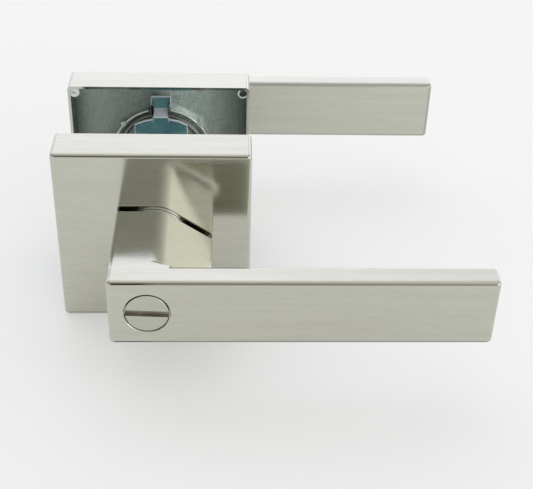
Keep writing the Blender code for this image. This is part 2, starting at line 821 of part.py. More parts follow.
def make_spindle(parent):
    """Square bar from hub to hub, hollow for the rod."""
    reach = DOOR_THICKNESS / 2 + SPINDLE_REACH
    half = SPINDLE_SIDE / 2
    mesh = box_mesh("spindle", (-half, -reach, -half), (half, reach, half))
    spindle = add_part("spindle", mesh, parent, ZINC_PLATE)
    long = reach + OVERLAP
    bore = cylinder_mesh("spindle_bore", SPINDLE_BORE_RADIUS, (0, -long, 0), (0, long, 0), SMALL_STEPS)
    cut(spindle, add_helper("spindle_bore", bore, parent))


# ---------------------------------------------------------------- through bolts


def make_post(word, x, parent):
    """A threaded post that stands in the outside rose's boss and crosses the door."""
    name = "post_" + word
    bore = BOLT_RADIUS + GAP
    base = FLOOR - GAP
    bolt_tip = BOLT_LENGTH - DOOR_THICKNESS - ROSE_DEPTH
    bore_end = bolt_tip + POST_BORE_SPARE
    profile = [
        (0, base),
        (POST_RADIUS, base),
        (POST_RADIUS, -POST_INTO_DOOR),
        (bore, -POST_INTO_DOOR),
        (bore, bore_end),
        (0, bore_end),
    ]
    post = turned_part(name, profile, parent, ZINC_PLATE, SMALL_STEPS)
    post.location.x = x


def make_bolt(word, x, parent):
    """A countersunk bolt with a cross recess, screwed from the inside rose into a post."""
    name = "through_bolt_" + word
    head = ROSE_DEPTH - GAP
    profile = [
        (0, head),
        (BOLT_HEAD_RADIUS, head),
        (BOLT_RADIUS, head - BOLT_HEAD_HEIGHT),
        (BOLT_RADIUS, head - BOLT_LENGTH),
        (0, head - BOLT_LENGTH),
    ]
    bolt = turned_part(name, profile, parent, NICKEL, SMALL_STEPS)
    bolt.location.x = x
    long = RECESS_HALF_LENGTH
    narrow = RECESS_HALF_WIDTH
    for i, (wide, high) in enumerate(((long, narrow), (narrow, long))):
        low_corner = (x - wide, head - RECESS_DEPTH, -high)
        high_corner = (x + wide, head + OVERLAP, high)
        recess_name = name + "_recess_" + str(i + 1)
        cut(bolt, add_helper(recess_name, box_mesh(recess_name, low_corner, high_corner), parent))


# ---------------------------------------------------------------- assembly


def make_half(side, frame):
    """Every piece that both halves have."""
    rose = make_rose(side, frame)
    make_lever(side, frame)
    make_set_screw(side, frame)
    make_hub(side, frame)
    make_bush(side, frame)
    make_return_spring(side, frame)
    make_spring_plate(side, frame)
    make_washer(side, frame)
    make_circlip(side, frame)
    return rose


def half_frame(side, sign):
    """Axis empty on the door's face, +y away from the door, and one turned with the coin slot."""
    frame = new_empty(side + "_frame", (0, sign * DOOR_THICKNESS / 2, 0))
    frame.scale.y = sign
    privacy_frame = new_empty(side + "_privacy_frame", (0, 0, 0), frame)
    privacy_frame.rotation_euler.y = math.radians(SLOT_TILT)
    return frame, privacy_frame


clear_scene()
PARTS = new_collection("door_lever_set")
HELPERS = new_collection("door_lever_set_cutters")

NICKEL = new_material("satin_nickel", (0.62, 0.61, 0.56), 0.28, 1)
ZINC_PLATE = new_material("zinc_plated_steel", (0.45, 0.53, 0.56), 0.35, 1)
SPRING_STEEL = new_material("spring_steel", (0.35, 0.36, 0.37), 0.3, 1)
DARK_STEEL = new_material("blackened_steel", (0.06, 0.06, 0.065), 0.45, 1)
NYLON = new_material("white_nylon", (0.82, 0.82, 0.79), 0.5, 0)

outside, outside_privacy = half_frame("outside", -1)
inside, inside_privacy = half_frame("inside", 1)
lever_axis = new_empty("lever_axis", (0, 0, 0))
privacy_axis = new_empty("privacy_axis", (0, 0, 0), lever_axis)
privacy_axis.rotation_euler.y = math.radians(SLOT_TILT)

outside_rose = make_half("outside", outside)
inside_rose = make_half("inside", inside)
cut_post_sockets(outside_rose, outside)
cut_bolt_holes(inside_rose, inside)

make_release_disc(outside_privacy)
make_stem_clip("release_disc_clip", outside_privacy)
make_turn_button(inside_privacy)
make_stem_clip("turn_button_clip", inside_privacy)
make_lock_rod(privacy_axis)
make_spindle(lever_axis)

for word, x in (("left", -BOLT_PLACE), ("right", BOLT_PLACE)):
    make_post(word, x, outside)
    make_bolt(word, x, inside)
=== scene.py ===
import json
import math

import bmesh
import bpy
from mathutils import Matrix, Vector


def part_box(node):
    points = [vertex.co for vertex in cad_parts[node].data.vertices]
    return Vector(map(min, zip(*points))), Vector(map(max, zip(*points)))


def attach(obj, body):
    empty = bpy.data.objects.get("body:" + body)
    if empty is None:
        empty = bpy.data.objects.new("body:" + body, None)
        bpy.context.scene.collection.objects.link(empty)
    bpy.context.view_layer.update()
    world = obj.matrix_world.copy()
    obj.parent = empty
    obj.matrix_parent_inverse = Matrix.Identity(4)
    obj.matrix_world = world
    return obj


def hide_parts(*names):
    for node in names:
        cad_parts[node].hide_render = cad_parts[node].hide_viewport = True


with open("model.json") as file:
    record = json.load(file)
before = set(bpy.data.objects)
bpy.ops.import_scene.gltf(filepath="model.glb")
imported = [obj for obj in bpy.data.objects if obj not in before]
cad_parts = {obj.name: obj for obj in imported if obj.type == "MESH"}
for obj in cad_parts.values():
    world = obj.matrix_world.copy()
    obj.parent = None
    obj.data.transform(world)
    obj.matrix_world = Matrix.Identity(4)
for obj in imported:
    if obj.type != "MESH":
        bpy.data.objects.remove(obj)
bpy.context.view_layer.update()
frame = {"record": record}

# Every shape below is made for the inside half, at +Y, in the frame's own place, and the
# outside half is its mirror image through the plane y = 0. Lengths are in metres.
MM = 0.001
GAP = 0.3 * MM
OVERLAP = 0.5 * MM
WELD = 0.00001

rose_low, rose_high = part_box("inside_rose")
lever_low, lever_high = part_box("inside_lever")
hub_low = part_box("inside_hub")[0]
plate_low, plate_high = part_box("inside_spring_plate")
rod_low, rod_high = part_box("lock_rod")
fin_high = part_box("turn_button")[1]
bolt_low, bolt_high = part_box("through_bolt_right")
post_low, post_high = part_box("post_right")
spindle_low, spindle_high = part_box("spindle")

# How many sides a round shape has, from the largest to the smallest.
ROUND_STEPS = 96
BOSS_STEPS = 48
HOLE_STEPS = 40
POST_STEPS = 32
DIMPLE_STEPS = 24
NUB_STEPS = 16
HEXAGON = 6

# Roses. FLOOR is the bottom of the hollow. The painted dark reflection line along a rounded front edge
# covers a span of lean in degrees, 0 for the front and 90 for the top. A dimple is a radius and a
# depth.
DOOR_FACE = rose_low.y
ROSE_FACE = rose_high.y
FLOOR = ROSE_FACE - 2 * MM
ROSE_WALL = 1 * MM
ROSE_INNER = rose_high.x - ROSE_WALL
ROSE_ROUND = 1.5 * MM
ROSE_ROUND_STEPS = 8
ROSE_PAINTED_LINE_SPAN = (0.5, 34)
SHELL_CREASE = 0.15 * MM
RING_RADIUS = 19.4 * MM
RING_WALL = 1 * MM
RING_TOP = DOOR_FACE + 9.4 * MM
RING_CREST_ROUND = 0.4 * RING_WALL
RING_CREST_STEPS = 4
RING_NUB_RADIUS = 1 * MM
RING_NUB_ANGLE = 42
CORNER_POST_RADIUS = 1.9 * MM
CORNER_POST_PLACE = 30.6 * MM
DIMPLE_LEFT = (0.7 * MM, 0.5 * MM)
DIMPLE_RIGHT = (1.4 * MM, 3 * MM)
NOTCH_LEFT = -4.75 * MM
NOTCH_RIGHT = 3.2 * MM
BOSS_RADIUS = 4.2 * MM
BOSS_TOP = DOOR_FACE + 9 * MM

# Levers. The neck's right flank leans by FLANK_TILT and passes FLANK_DISTANCE from the axis.
NECK_START = lever_low.y
BLADE_FRONT = lever_high.y
BLADE_BACK = BLADE_FRONT - 8.6 * MM
HEEL = lever_low.x
TIP = lever_high.x
BLADE_HALF = lever_high.z
LEVER_ROUND = 1.6 * MM
LEVER_ROUND_STEPS = 8
# The painted dark reflection line on the blade's front edges covers this span of lean in degrees.
LEVER_PAINTED_LINE_SPAN = (11.5, 34)
SEAM_ROUND = 0.35 * MM
SEAM_ROUND_STEPS = 3
HEEL_STEPS = 5
FLANK_TILT = 33
FLANK_DISTANCE = 12.1 * MM
SHOULDER_RADIUS = 9 * MM
SHOULDER_STEPS = 16
NOSE_RADIUS = 2 * MM
NOSE_REACH = 20 * MM
NOSE_STEPS = 10
ROOT_FILLET = 2.6 * MM
ROOT_FILLET_STEPS = 14
DISC_SEAT = BLADE_FRONT - 2.7 * MM
POCKET_CHAMFER = 0.2 * MM

# Hubs
COLLAR_RADIUS = 12 * MM
COLLAR_GAP = 0.12 * MM
SPIGOT_RADIUS = 7.5 * MM
SPIGOT_END = DOOR_FACE + 23 * MM
FLANGE_RADIUS = 14.6 * MM
FLANGE_FRONT = DOOR_FACE + 10.6 * MM
FLANGE_BACK = DOOR_FACE + 9 * MM
SHANK_RADIUS = 7 * MM
SHANK_END = hub_low.y
GROOVE_RADIUS = 6.3 * MM
GROOVE_BACK = DOOR_FACE + 3.8 * MM
GROOVE_FRONT = DOOR_FACE + 4.8 * MM
EAR_HALF_WIDTH = 1.75 * MM
EAR_RADIUS = 9.6 * MM
LUG_OUTER = 13.6 * MM
LUG_WIDTH = 3 * MM
LUG_ANGLE = 70
HUB_CREASE = 0.12 * MM

# Spring plates. EAR_SWING is half of each sector of the hole, in degrees.
PLATE_THICKNESS = 1.2 * MM
PLATE_BACK = plate_low.y
PLATE_FRONT = PLATE_BACK + PLATE_THICKNESS
PLATE_TOP = 16.8 * MM
PLATE_TOP_HALF_WIDTH = 2.5 * MM
PLATE_BROW = 15.9 * MM
PLATE_BROW_HALF_WIDTH = 6.6 * MM
PLATE_SHOULDER = 14.3 * MM
PLATE_HALF_WIDTH = 10 * MM
PLATE_ROUND = 0.28 * MM
PLATE_ROUND_STEPS = 3
TAB_HALF_WIDTH = 2.9 * MM
TAB_ROOT = PLATE_TOP - 2 * MM
TAB_BEND_RADIUS = 17.6 * MM
TAB_REACH = plate_high.z
FOOT_HALF_WIDTH = 3.8 * MM
FOOT_START = 20.1 * MM
FOOT_FRONT = FLOOR - GAP
FOOT_BACK = FOOT_FRONT - PLATE_THICKNESS
EAR_SWING = 61
SECTOR_STEPS = 40
WAIST_STEPS = 16

# Return springs
WIRE_RADIUS = 0.6 * MM
SPRING_RADIUS = 16.6 * MM
SPRING_FIRST = DOOR_FACE + 11.05 * MM
SPRING_LAST = DOOR_FACE + 8.2 * MM
SPRING_FIXED_X = -3.85 * MM
SPRING_LEG_INNER = 10.8 * MM
SPRING_LEG_OUTER = 19.7 * MM
SPRING_TURNS = 2
SPRING_STEPS = 180

# Spindle, release disc, thumb turn and rod. All but the spindle are tilted by SLOT_TILT degrees.
SPINDLE_HALF = spindle_high.x
SPINDLE_BORE_RADIUS = 2.5 * MM
SPINDLE_ROUND = 0.35 * MM
SPINDLE_ROUND_STEPS = 4
DISC_RADIUS = 6.9 * MM
DISC_BACK = BLADE_FRONT - 2.4 * MM
DISC_CHAMFER = 0.3 * MM
DISC_CHAMFER_STEPS = 4
DISC_SURROUND = DISC_RADIUS + 1 * MM
STEM_RADIUS = 3.2 * MM
STEM_END = DOOR_FACE + 24.1 * MM
STEM_GROOVE_RADIUS = 2.7 * MM
SOCKET_END = DOOR_FACE + 25.6 * MM
SLOT_TILT = 2.5
COIN_SLOT_HALF_WIDTH = 1.1 * MM
COIN_SLOT_DEPTH = 1.4 * MM
COIN_SLOT_CREASE = 0.1 * MM
FIN_HALF_LENGTH = 5.6 * MM
FIN_HALF_WIDTH = 1.7 * MM
FIN_TOP = fin_high.y
FIN_ROUND = 1 * MM
FIN_ROUND_STEPS = 5
ROD_HALF_WIDTH = 2 * MM
ROD_HALF_THICKNESS = 0.8 * MM
ROD_CREASE = 0.2 * MM
ROD_SOCKET_END = rod_high.y + 2 * MM

# Fasteners, rings and clips. A clip's opening is in degrees.
SET_SCREW_PLACE = DOOR_FACE + 19 * MM
SET_SCREW_RADIUS = 2.5 * MM
SET_SCREW_CREASE = 0.15 * MM
HEX_RADIUS = 1.45 * MM
HEX_DEPTH = 2 * MM
BOLT_PLACE = (bolt_low.x + bolt_high.x) / 2
BOLT_RADIUS = 1.9 * MM
BOLT_HEAD_RADIUS = 4 * MM
BOLT_HEAD_HEIGHT = 2.1 * MM
BOLT_HEAD_CHAMFER = 0.15 * MM
BOLT_PLAIN_SHANK = 2 * MM
RECESS_HALF_LENGTH = 0.6 * BOLT_HEAD_RADIUS
RECESS_HALF_WIDTH = 0.13 * BOLT_HEAD_RADIUS
THREAD_PITCH = 0.7 * MM
THREAD_DEPTH = 0.25 * MM
POST_RADIUS = 3 * MM
POST_CHAMFER = 0.3 * MM
POST_BORE_END = -bolt_low.y + 3 * MM
BUSH_OUTER = 15 * MM
BUSH_BACK = DOOR_FACE + 10.9 * MM
BUSH_ROUND = 0.2 * MM
WASHER_OUTER = 10.5 * MM
WASHER_ROUND = 0.12 * MM
RING_ROUND_STEPS = 3
CIRCLIP_OUTER = 8.6 * MM
CIRCLIP_CREASE = 0.1 * MM
CIRCLIP_STEPS = 64
CLIP_THICKNESS = 0.7 * MM
CLIP_OPENING = 70
STEM_CLIP_OUTER = 5.4 * MM
STEM_CLIP_THICKNESS = 0.6 * MM
STEM_CLIP_CREASE = 0.08 * MM
STEM_CLIP_STEPS = 48
WIRE_STEPS = 4

# Limits on a face's unit normal. Past SQUARE it points along an axis and past FLAT along Y, where
# below UPRIGHT it belongs to a wall. The nose's faces, which take a painted glint, point past
# NOSE_LEAN to the right, the front's rounded edges past FRONT_LEAN to the front, and the faces of a
# painted dark reflection line less than SIDE_LEAN sideways. Brushing turns on the spindle's ends,
# past END_ON, and on flanks, past SIDEWAYS.
END_ON = 0.8
SIDEWAYS = 0.75
SQUARE = 0.99
FLAT = 0.97
UPRIGHT = 0.3
NOSE_LEAN = 0.6
FRONT_LEAN = 0.05
SIDE_LEAN = 0.1

# Camera: angles in degrees, lens and sensor in millimetres.
CAMERA_YAW = -2.827
CAMERA_PITCH = 34.6
CAMERA_ROLL = 1.807
CAMERA_PLACE = (23.63 * MM, -333.12 * MM, 206.1 * MM)
CAMERA_LENS = 71.86
CAMERA_SENSOR = 36
CAMERA_NEAR = 10 * MM

# The floor that the roses stand on.
STAGE_HALF_SIZE = 6
STAGE_DROP = 0.2 * MM
STAGE_TINT = (0.575, 0.58, 0.558, 1)
STAGE_ROUGH = 0.9
STAGE_GLOW = 0.35

# The studio's brightness at each elevation, from behind the object (+Y) round by its right (+X).
STUDIO_BANDS = (
    (8, (1.9, 2.0, 0.9, 2.6, 0.9, 0.5, 0.5, 1.2)),
    (30, (1.35, 0.95, 0.5, 1.2, 0.5, 0.35, 0.4, 1.3)),
    (55, (1.45, 1.0, 0.5, 0.7, 0.7, 0.6, 0.75, 1.3)),
    (90, (1.15,) * 8),
)
BACK_TINT = (1.0, 1.0, 1.1)
BACK_TINT_FULL = 0.7

# Painted highlight inside a rose's hollow: its brightness at places from the left of the hollow (0) to
# its right (1), a bright band right of the middle and painted shade towards both walls.
HIGHLIGHT_BAND_PLACES = (0.0, 0.15, 0.38, 0.46, 0.52, 0.62, 0.7, 0.82, 0.9, 1.0)
HIGHLIGHT_BAND_LEVELS = (0.5, 0.55, 0.52, 0.42, 0.75, 0.97, 0.9, 0.6, 0.4, 0.34)

# Brush lines to the metre, along and across the grain. Brushed metal also has broader lines, by the
# factors BROADER, with the share BROAD_SHARE of its pattern.
FINE_LINES = (160, 4200)
HAIRLINES = (150, 3000)
ROLLED_LINES = (900, 1800)
DRAWN_LINES = (80, 3000)
EDGE_LINES = (60, 3000)
HATCHING = (260, 1100)
BROADER = (6, 9)
BROAD_SHARE = 0.35

# Noise: its usual span, and its scales to the metre. Then the heights of small relief.
NOISE_LOW = 0.3
NOISE_HIGH = 0.7
SMUDGES = 60
METAL_CLOUDS = 110
PLASTIC_CLOUDS = 80
CAST_PITS = 900
PLASTIC_GRAIN = 1500
GRAIN_HEIGHT = 0.05 * MM
PIT_DEPTH = 0.08 * MM

# Plastic's roughness, the sum of two crossed grains and the brightness it gives, and a painted dark
# reflection line's roughness, share of noise, lightest shade and fade along X.
PLASTIC_ROUGH = (0.42, 0.58)
WOVEN_SPAN = (0.7, 1.3)
WOVEN_SHADE = (0.8, 1.08)
PAINTED_LINE_ROUGH = 0.15
PAINTED_LINE_NOISE = 0.4
PAINTED_LINE_SHADE = 0.75
PAINTED_LINE_FADE = 12 * MM

# A piece belongs to the outside half where the sum of its Y limits lies below OUTSIDE_FROM. A
# turned face's grain map is as long as if it were bent round at the radius TURNED_GRAIN.
MIRROR = Matrix.Scale(-1, 4, (0, 1, 0))
OUTSIDE_FROM = -1 * MM
TURNED_GRAIN = 10 * MM

BODY_OF = {}
for body_name, members in frame["record"]["behaviour"]["bodies"].items():
    for member in members:
        BODY_OF[member] = body_name


# ---- mesh helpers


def add_object(name, data):
    obj = bpy.data.objects.new(name, data)
    bpy.context.scene.collection.objects.link(obj)
    return obj


def evaluated_mesh(obj):
    """An object's shape with its modifiers or its curve made into a mesh."""
    graph = bpy.context.evaluated_depsgraph_get()
    return bpy.data.meshes.new_from_object(obj.evaluated_get(graph))


def combined(mesh, others, operation):
    """The mesh after a Boolean with each of the others, which are used up."""
    obj = add_object("scratch", mesh)
    helpers = [add_object("scratch_helper", other) for other in others]
    for helper in helpers:
        modifier = obj.modifiers.new("boolean", "BOOLEAN")
        modifier.operation = operation
        modifier.solver = "EXACT"
        modifier.object = helper
    result = evaluated_mesh(obj)
    for spent in [obj] + helpers:
        bpy.data.objects.remove(spent)
    return result


def mesh_of(bm):
    """The bmesh as a mesh with outward normals; the bmesh is used up."""
    bmesh.ops.recalc_face_normals(bm, faces=bm.faces)
    mesh = bpy.data.meshes.new("shape")
    bm.to_mesh(mesh)
    bm.free()
    return mesh


def opened(mesh):
    bm = bmesh.new()
    bm.from_mesh(mesh)
    return bm


def welded(mesh):
    """The mesh with its coincident points joined."""
    bm = opened(mesh)
    bmesh.ops.remove_doubles(bm, verts=bm.verts, dist=WELD)
    return mesh_of(bm)


def new_curve(dimensions, lines, closed):
    """A curve of straight lines between points."""
    curve = bpy.data.curves.new("line", "CURVE")
    curve.dimensions = dimensions
    for line in lines:
        spline = curve.splines.new("POLY")
        spline.points.add(len(line) - 1)
        for point, place in zip(spline.points, line):
            point.co = (*place, 1)
        spline.use_cyclic_u = closed
    return curve


def curve_mesh(curve):
    """The surface of a curve, which is used up."""
    holder = add_object("scratch", curve)
    mesh = evaluated_mesh(holder)
    bpy.data.objects.remove(holder)
    bpy.data.curves.remove(curve)
    return mesh


def bevel(bm, edges, width, segments, clamp=False):
    bmesh.ops.bevel(
        bm,
        geom=edges,
        offset=width,
        segments=segments,
        profile=0.5,
        affect="EDGES",
        clamp_overlap=clamp,
    )


def add_box(bm, low, high):
    low = Vector(low)
    high = Vector(high)
    size = Matrix.Diagonal(high - low).to_4x4()
    bmesh.ops.create_cube(bm, size=1, matrix=Matrix.Translation((low + high) / 2) @ size)


def box_mesh(low, high, rounding=0, segments=3):
    """A box between two corners, with all its edges rounded if asked."""
    bm = bmesh.new()
    add_box(bm, low, high)
    if rounding:
        bevel(bm, bm.edges[:], rounding, segments)
    return mesh_of(bm)


def add_cylinder(bm, radius, start, end, steps):
    start = Vector(start)
    axis = Vector(end) - start
    turn = axis.to_track_quat("Z", "Y").to_matrix().to_4x4()
    place = Matrix.Translation(start + axis / 2) @ turn
    size = {"radius1": radius, "radius2": radius, "depth": axis.length}
    bmesh.ops.create_cone(bm, cap_ends=True, segments=steps, matrix=place, **size)


def cylinders_mesh(radius, ends, steps):
    """Several loose cylinders, each between two points."""
    bm = bmesh.new()
    for start, end in ends:
        add_cylinder(bm, radius, start, end, steps)
    return mesh_of(bm)


def turned_mesh(profile, steps=ROUND_STEPS, x=0, closed=False):
    """Spins (radius, y) points round the line through x along Y.

    An open profile begins and ends on the axis. A closed one makes a ring.
    """
    bm = bmesh.new()
    loops = []
    for radius, y in profile:
        if radius == 0:
            loops.append([bm.verts.new((x, y, 0))])
            continue
        loop = []
        for i in range(steps):
            angle = 2 * math.pi * i / steps
            loop.append(bm.verts.new((x + radius * math.cos(angle), y, radius * math.sin(angle))))
        loops.append(loop)
    pairs = list(zip(loops, loops[1:]))
    if closed:
        pairs.append((loops[-1], loops[0]))
    for first, second in pairs:
        for i in range(steps):
            j = (i + 1) % steps
            if len(first) == 1:
                bm.faces.new((first[0], second[j], second[i]))
            elif len(second) == 1:
                bm.faces.new((first[i], first[j], second[0]))
            else:
                bm.faces.new((first[i], first[j], second[j], second[i]))
    return mesh_of(bm)


def polar(radius, degrees):
    angle = math.radians(degrees)
    return radius * math.cos(angle), radius * math.sin(angle)


def arc(radius, start, end, count, centre=(0, 0)):
    """count + 1 points (x, z) along an arc, both ends included."""
    points = []
    for i in range(count + 1):
        x, z = polar(radius, start + (end - start) * i / count)
        points.append((centre[0] + x, centre[1] + z))
    return points


def plate_mesh(outlines, back, front):
    """A flat piece between two planes of Y: its edge, then its holes, as (x, z) points."""
    flat = [[(x, z, 0) for x, z in outline] for outline in outlines]
    curve = new_curve("2D", flat, closed=True)
    curve.fill_mode = "BOTH"
    curve.extrude = (front - back) / 2
    mesh = curve_mesh(curve)
    stand = Matrix.Rotation(math.pi / 2, 4, "X")
    mesh.transform(Matrix.Translation((0, (back + front) / 2, 0)) @ stand)
    return welded(mesh)


def prism_mesh(outline, push):
    """A flat outline of points pushed along a vector."""
    bm = bmesh.new()
    face = bm.faces.new([bm.verts.new(point) for point in outline])
    pushed = bmesh.ops.extrude_face_region(bm, geom=[face])
    moved = [item for item in pushed["geom"] if isinstance(item, bmesh.types.BMVert)]
    bmesh.ops.translate(bm, verts=moved, vec=push)
    return mesh_of(bm)


def softened(mesh, width, segments, chosen=None, angle=40, clamp=True):
    """The mesh with its sharp edges rounded, or only those for which chosen(edge) is true."""
    flat_within = math.radians(0.3)
    bm = opened(mesh)
    bmesh.ops.remove_doubles(bm, verts=bm.verts, dist=WELD)
    bmesh.ops.dissolve_limit(
        bm, angle_limit=flat_within, verts=bm.verts, edges=bm.edges, delimit={"NORMAL"}
    )
    limit = math.radians(angle)
    edges = [e for e in bm.edges if e.is_manifold and e.calc_face_angle() > limit]
    if chosen:
        edges = [e for e in edges if chosen(e)]
    bevel(bm, edges, width, segments, clamp)
    return mesh_of(bm)


def brush_direction(normal, grain):
    """Which way the brushing runs on a face that points along normal, or None for turned work."""
    along_x = Vector((1, 0, 0))
    if grain == "turned":
        return None
    if grain == "spindle":
        return Vector((0, 1, 0)) if abs(normal.y) < END_ON else along_x
    return along_x if abs(normal.x) < SIDEWAYS else Vector((0, 0, 1))


def add_grain(mesh, grain, centre_x=0):
    """A UV map in metres whose U runs along the brushing."""
    layer = mesh.uv_layers.new(name="grain")
    for polygon in mesh.polygons:
        along = brush_direction(polygon.normal, grain)
        for loop_index in polygon.loop_indices:
            co = mesh.vertices[mesh.loops[loop_index].vertex_index].co
            if along is None:
                radius = math.hypot(co.x - centre_x, co.z)
                angle = math.atan2(co.z, co.x - centre_x)
                layer.data[loop_index].uv = (angle * TURNED_GRAIN, radius + co.y)
            else:
                across = polygon.normal.cross(along)
                layer.data[loop_index].uv = (co.dot(along), co.dot(across))


def add_piece(node, mesh, materials, grain="flat", angle=35, centre_x=0, choose=None):
    """Stands a finished mesh in a CAD node's place, mirrored where the node lies outside.

    It is smooth but for its sharp edges, rides with the node's body, is named after the node and hides
    the node.
    choose(polygon) names the material of one face, and without it all have the first.
    """
    indices = [materials.index(choose(polygon)) if choose else 0 for polygon in mesh.polygons]
    low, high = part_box(node)
    if low.y + high.y < OUTSIDE_FROM:
        mesh.transform(MIRROR)
        mesh.flip_normals()
    mesh.name = node + "_fine"
    mesh.materials.clear()
    for material in materials:
        mesh.materials.append(material)
    for polygon, index in zip(mesh.polygons, indices):
        polygon.material_index = index
    add_grain(mesh, grain, centre_x)
    mesh.shade_smooth()
    mesh.set_sharp_from_angle(angle=math.radians(angle))
    obj = add_object(mesh.name, mesh)
    weighted = obj.modifiers.new("normals", "WEIGHTED_NORMAL")
    weighted.keep_sharp = True
    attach(obj, BODY_OF[node])
    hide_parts(node)


# ---- materials


class Nodes:
    """The node tree of a material or a world, with short ways to add nodes and to link them."""

    def __init__(self, owner, shader):
        owner.use_nodes = True
        self.owner = owner
        self.tree = owner.node_tree
        self.shader = self.tree.nodes[shader]

    def node(self, kind, inputs=None, **settings):
        """A new node with its settings, and with its inputs linked to sockets or set to values."""
        node = self.tree.nodes.new("ShaderNode" + kind)
        for key, value in settings.items():
            setattr(node, key, value)
        for key, value in (inputs or {}).items():
            if isinstance(value, bpy.types.NodeSocket):
                self.tree.links.new(value, node.inputs[key])
            else:
                node.inputs[key].default_value = value
        return node

    def add(self, kind, inputs=None, output=0, **settings):
        """One output of a new node, the first unless another is named."""
        return self.node(kind, inputs, **settings).outputs[output]

    def mix(self, factor, first, second, **settings):
        """A blend of two colours."""
        inputs = {"Factor": factor, "A": first, "B": second}
        return self.add("Mix", inputs, "Result", data_type="RGBA", **settings)

    def ramp(self, factor, stops):
        """The colour at factor on a ramp of stops, each a position and a colour."""
        node = self.node("ValToRGB", {"Fac": factor})
        elements = node.color_ramp.elements
        while len(elements) < len(stops):
            elements.new(0.5)
        for element, (position, colour) in zip(elements, stops):
            element.position = position
            element.color = (*colour, 1)
        return node.outputs["Color"]

    def spread(self, value, start, end, low=0.0, high=1.0):
        """The value, from start to end, spread over low to high."""
        span = {"From Min": start, "From Max": end, "To Min": low, "To Max": high}
        return self.add("MapRange", {"Value": value, **span})

    def link(self, source, socket):
        self.tree.links.new(source, self.shader.inputs[socket])


def new_material(name, **values):
    """The nodes of a new material, with values for its shader's inputs."""
    nodes = Nodes(bpy.data.materials.new(name), "Principled BSDF")
    for key, value in values.items():
        nodes.shader.inputs[key.replace("_", " ")].default_value = value
    return nodes


def streaks(nodes, along, across, detail=3):
    """Noise drawn out along the brushing."""
    grain = nodes.add("UVMap", uv_map="grain")
    drawn = nodes.add("Mapping", {"Vector": grain, "Scale": (along, across, 1)})
    inputs = {"Vector": drawn, "Scale": 1.0, "Detail": detail, "Roughness": 0.6}
    return nodes.add("TexNoise", inputs, noise_dimensions="2D")


def blotches(nodes, scale, detail=2):
    """Soft noise in the object's own space."""
    place = nodes.add("TexCoord", output="Object")
    inputs = {"Vector": place, "Scale": scale, "Detail": detail, "Roughness": 0.5}
    return nodes.add("TexNoise", inputs)


def between(nodes, noise, low, high):
    """The noise's usual span spread over low to high."""
    return nodes.spread(noise, NOISE_LOW, NOISE_HIGH, low, high)


def tinted(nodes, noise, dark, light):
    """A colour from dark to light over the noise's usual span."""
    return nodes.ramp(noise, ((NOISE_LOW, dark), (NOISE_HIGH, light)))


def relief(nodes, height, strength, distance):
    """Small bumps where height is high."""
    inputs = {"Height": height, "Strength": strength, "Distance": distance}
    nodes.link(nodes.add("Bump", inputs), "Normal")


def brushed_metal(name, dark, light, rough, anisotropy, lines=FINE_LINES, bump=0.06, metallic=1.0):
    """Plated metal with brush lines along the grain map's U, and broader, softer ones among them."""
    along, across = lines
    quarter_turn = 0.25
    nodes = new_material(
        name, Metallic=metallic, Anisotropic=anisotropy, Anisotropic_Rotation=quarter_turn
    )
    fine = streaks(nodes, along, across)
    broad = streaks(nodes, along / BROADER[0], across / BROADER[1], detail=1)
    mixed = nodes.add("Mix", {"Factor": BROAD_SHARE, "A": fine, "B": broad})
    nodes.link(tinted(nodes, mixed, dark, light), "Base Color")
    streaked = between(nodes, mixed, 0.75 * rough, 1.25 * rough)
    smudged = between(nodes, blotches(nodes, SMUDGES), -0.1 * rough, 0.1 * rough)
    total = nodes.add("Math", {0: streaked, 1: smudged}, operation="ADD")
    nodes.link(total, "Roughness")
    tangent = nodes.add("Tangent", direction_type="UV_MAP", uv_map="grain")
    nodes.link(tangent, "Tangent")
    relief(nodes, fine, bump, GRAIN_HEIGHT)
    return nodes.owner


def cast_metal(name, dark, light, rough, grain=CAST_PITS, bump=0.1):
    """Plated casting or forging: faint pits, no brushing."""
    nodes = new_material(name, Metallic=1.0)
    pits = blotches(nodes, grain, detail=4)
    nodes.link(tinted(nodes, blotches(nodes, METAL_CLOUDS), dark, light), "Base Color")
    nodes.link(between(nodes, pits, 0.75 * rough, 1.3 * rough), "Roughness")
    relief(nodes, pits, bump, PIT_DEPTH)
    return nodes.owner


def moulded_plastic(name, dark, light):
    """Matt plastic with a fine even grain."""
    nodes = new_material(name)
    grain = blotches(nodes, PLASTIC_GRAIN, detail=3)
    nodes.link(tinted(nodes, blotches(nodes, PLASTIC_CLOUDS), dark, light), "Base Color")
    nodes.link(between(nodes, grain, *PLASTIC_ROUGH), "Roughness")
    relief(nodes, grain, 0.08, GRAIN_HEIGHT)
    return nodes.owner


def painted_dark_line(name, dark, light, start):
    """Painted dark reflection line: brushed metal that goes from dark at start to light over the
    line's fade length along X.
    """
    nodes = new_material(name, Metallic=1.0)
    grain = nodes.add("UVMap", uv_map="grain")
    along = nodes.add("SeparateXYZ", {"Vector": grain}, output="X")
    shade = nodes.spread(along, start, start + PAINTED_LINE_FADE, high=PAINTED_LINE_SHADE)
    fine = streaks(nodes, *EDGE_LINES)
    inputs = {0: fine, 1: PAINTED_LINE_NOISE, 2: shade}
    total = nodes.add("Math", inputs, operation="MULTIPLY_ADD")
    nodes.link(tinted(nodes, total, dark, light), "Base Color")
    nodes.link(between(nodes, fine, 0.8 * PAINTED_LINE_ROUGH, 1.2 * PAINTED_LINE_ROUGH), "Roughness")
    return nodes.owner


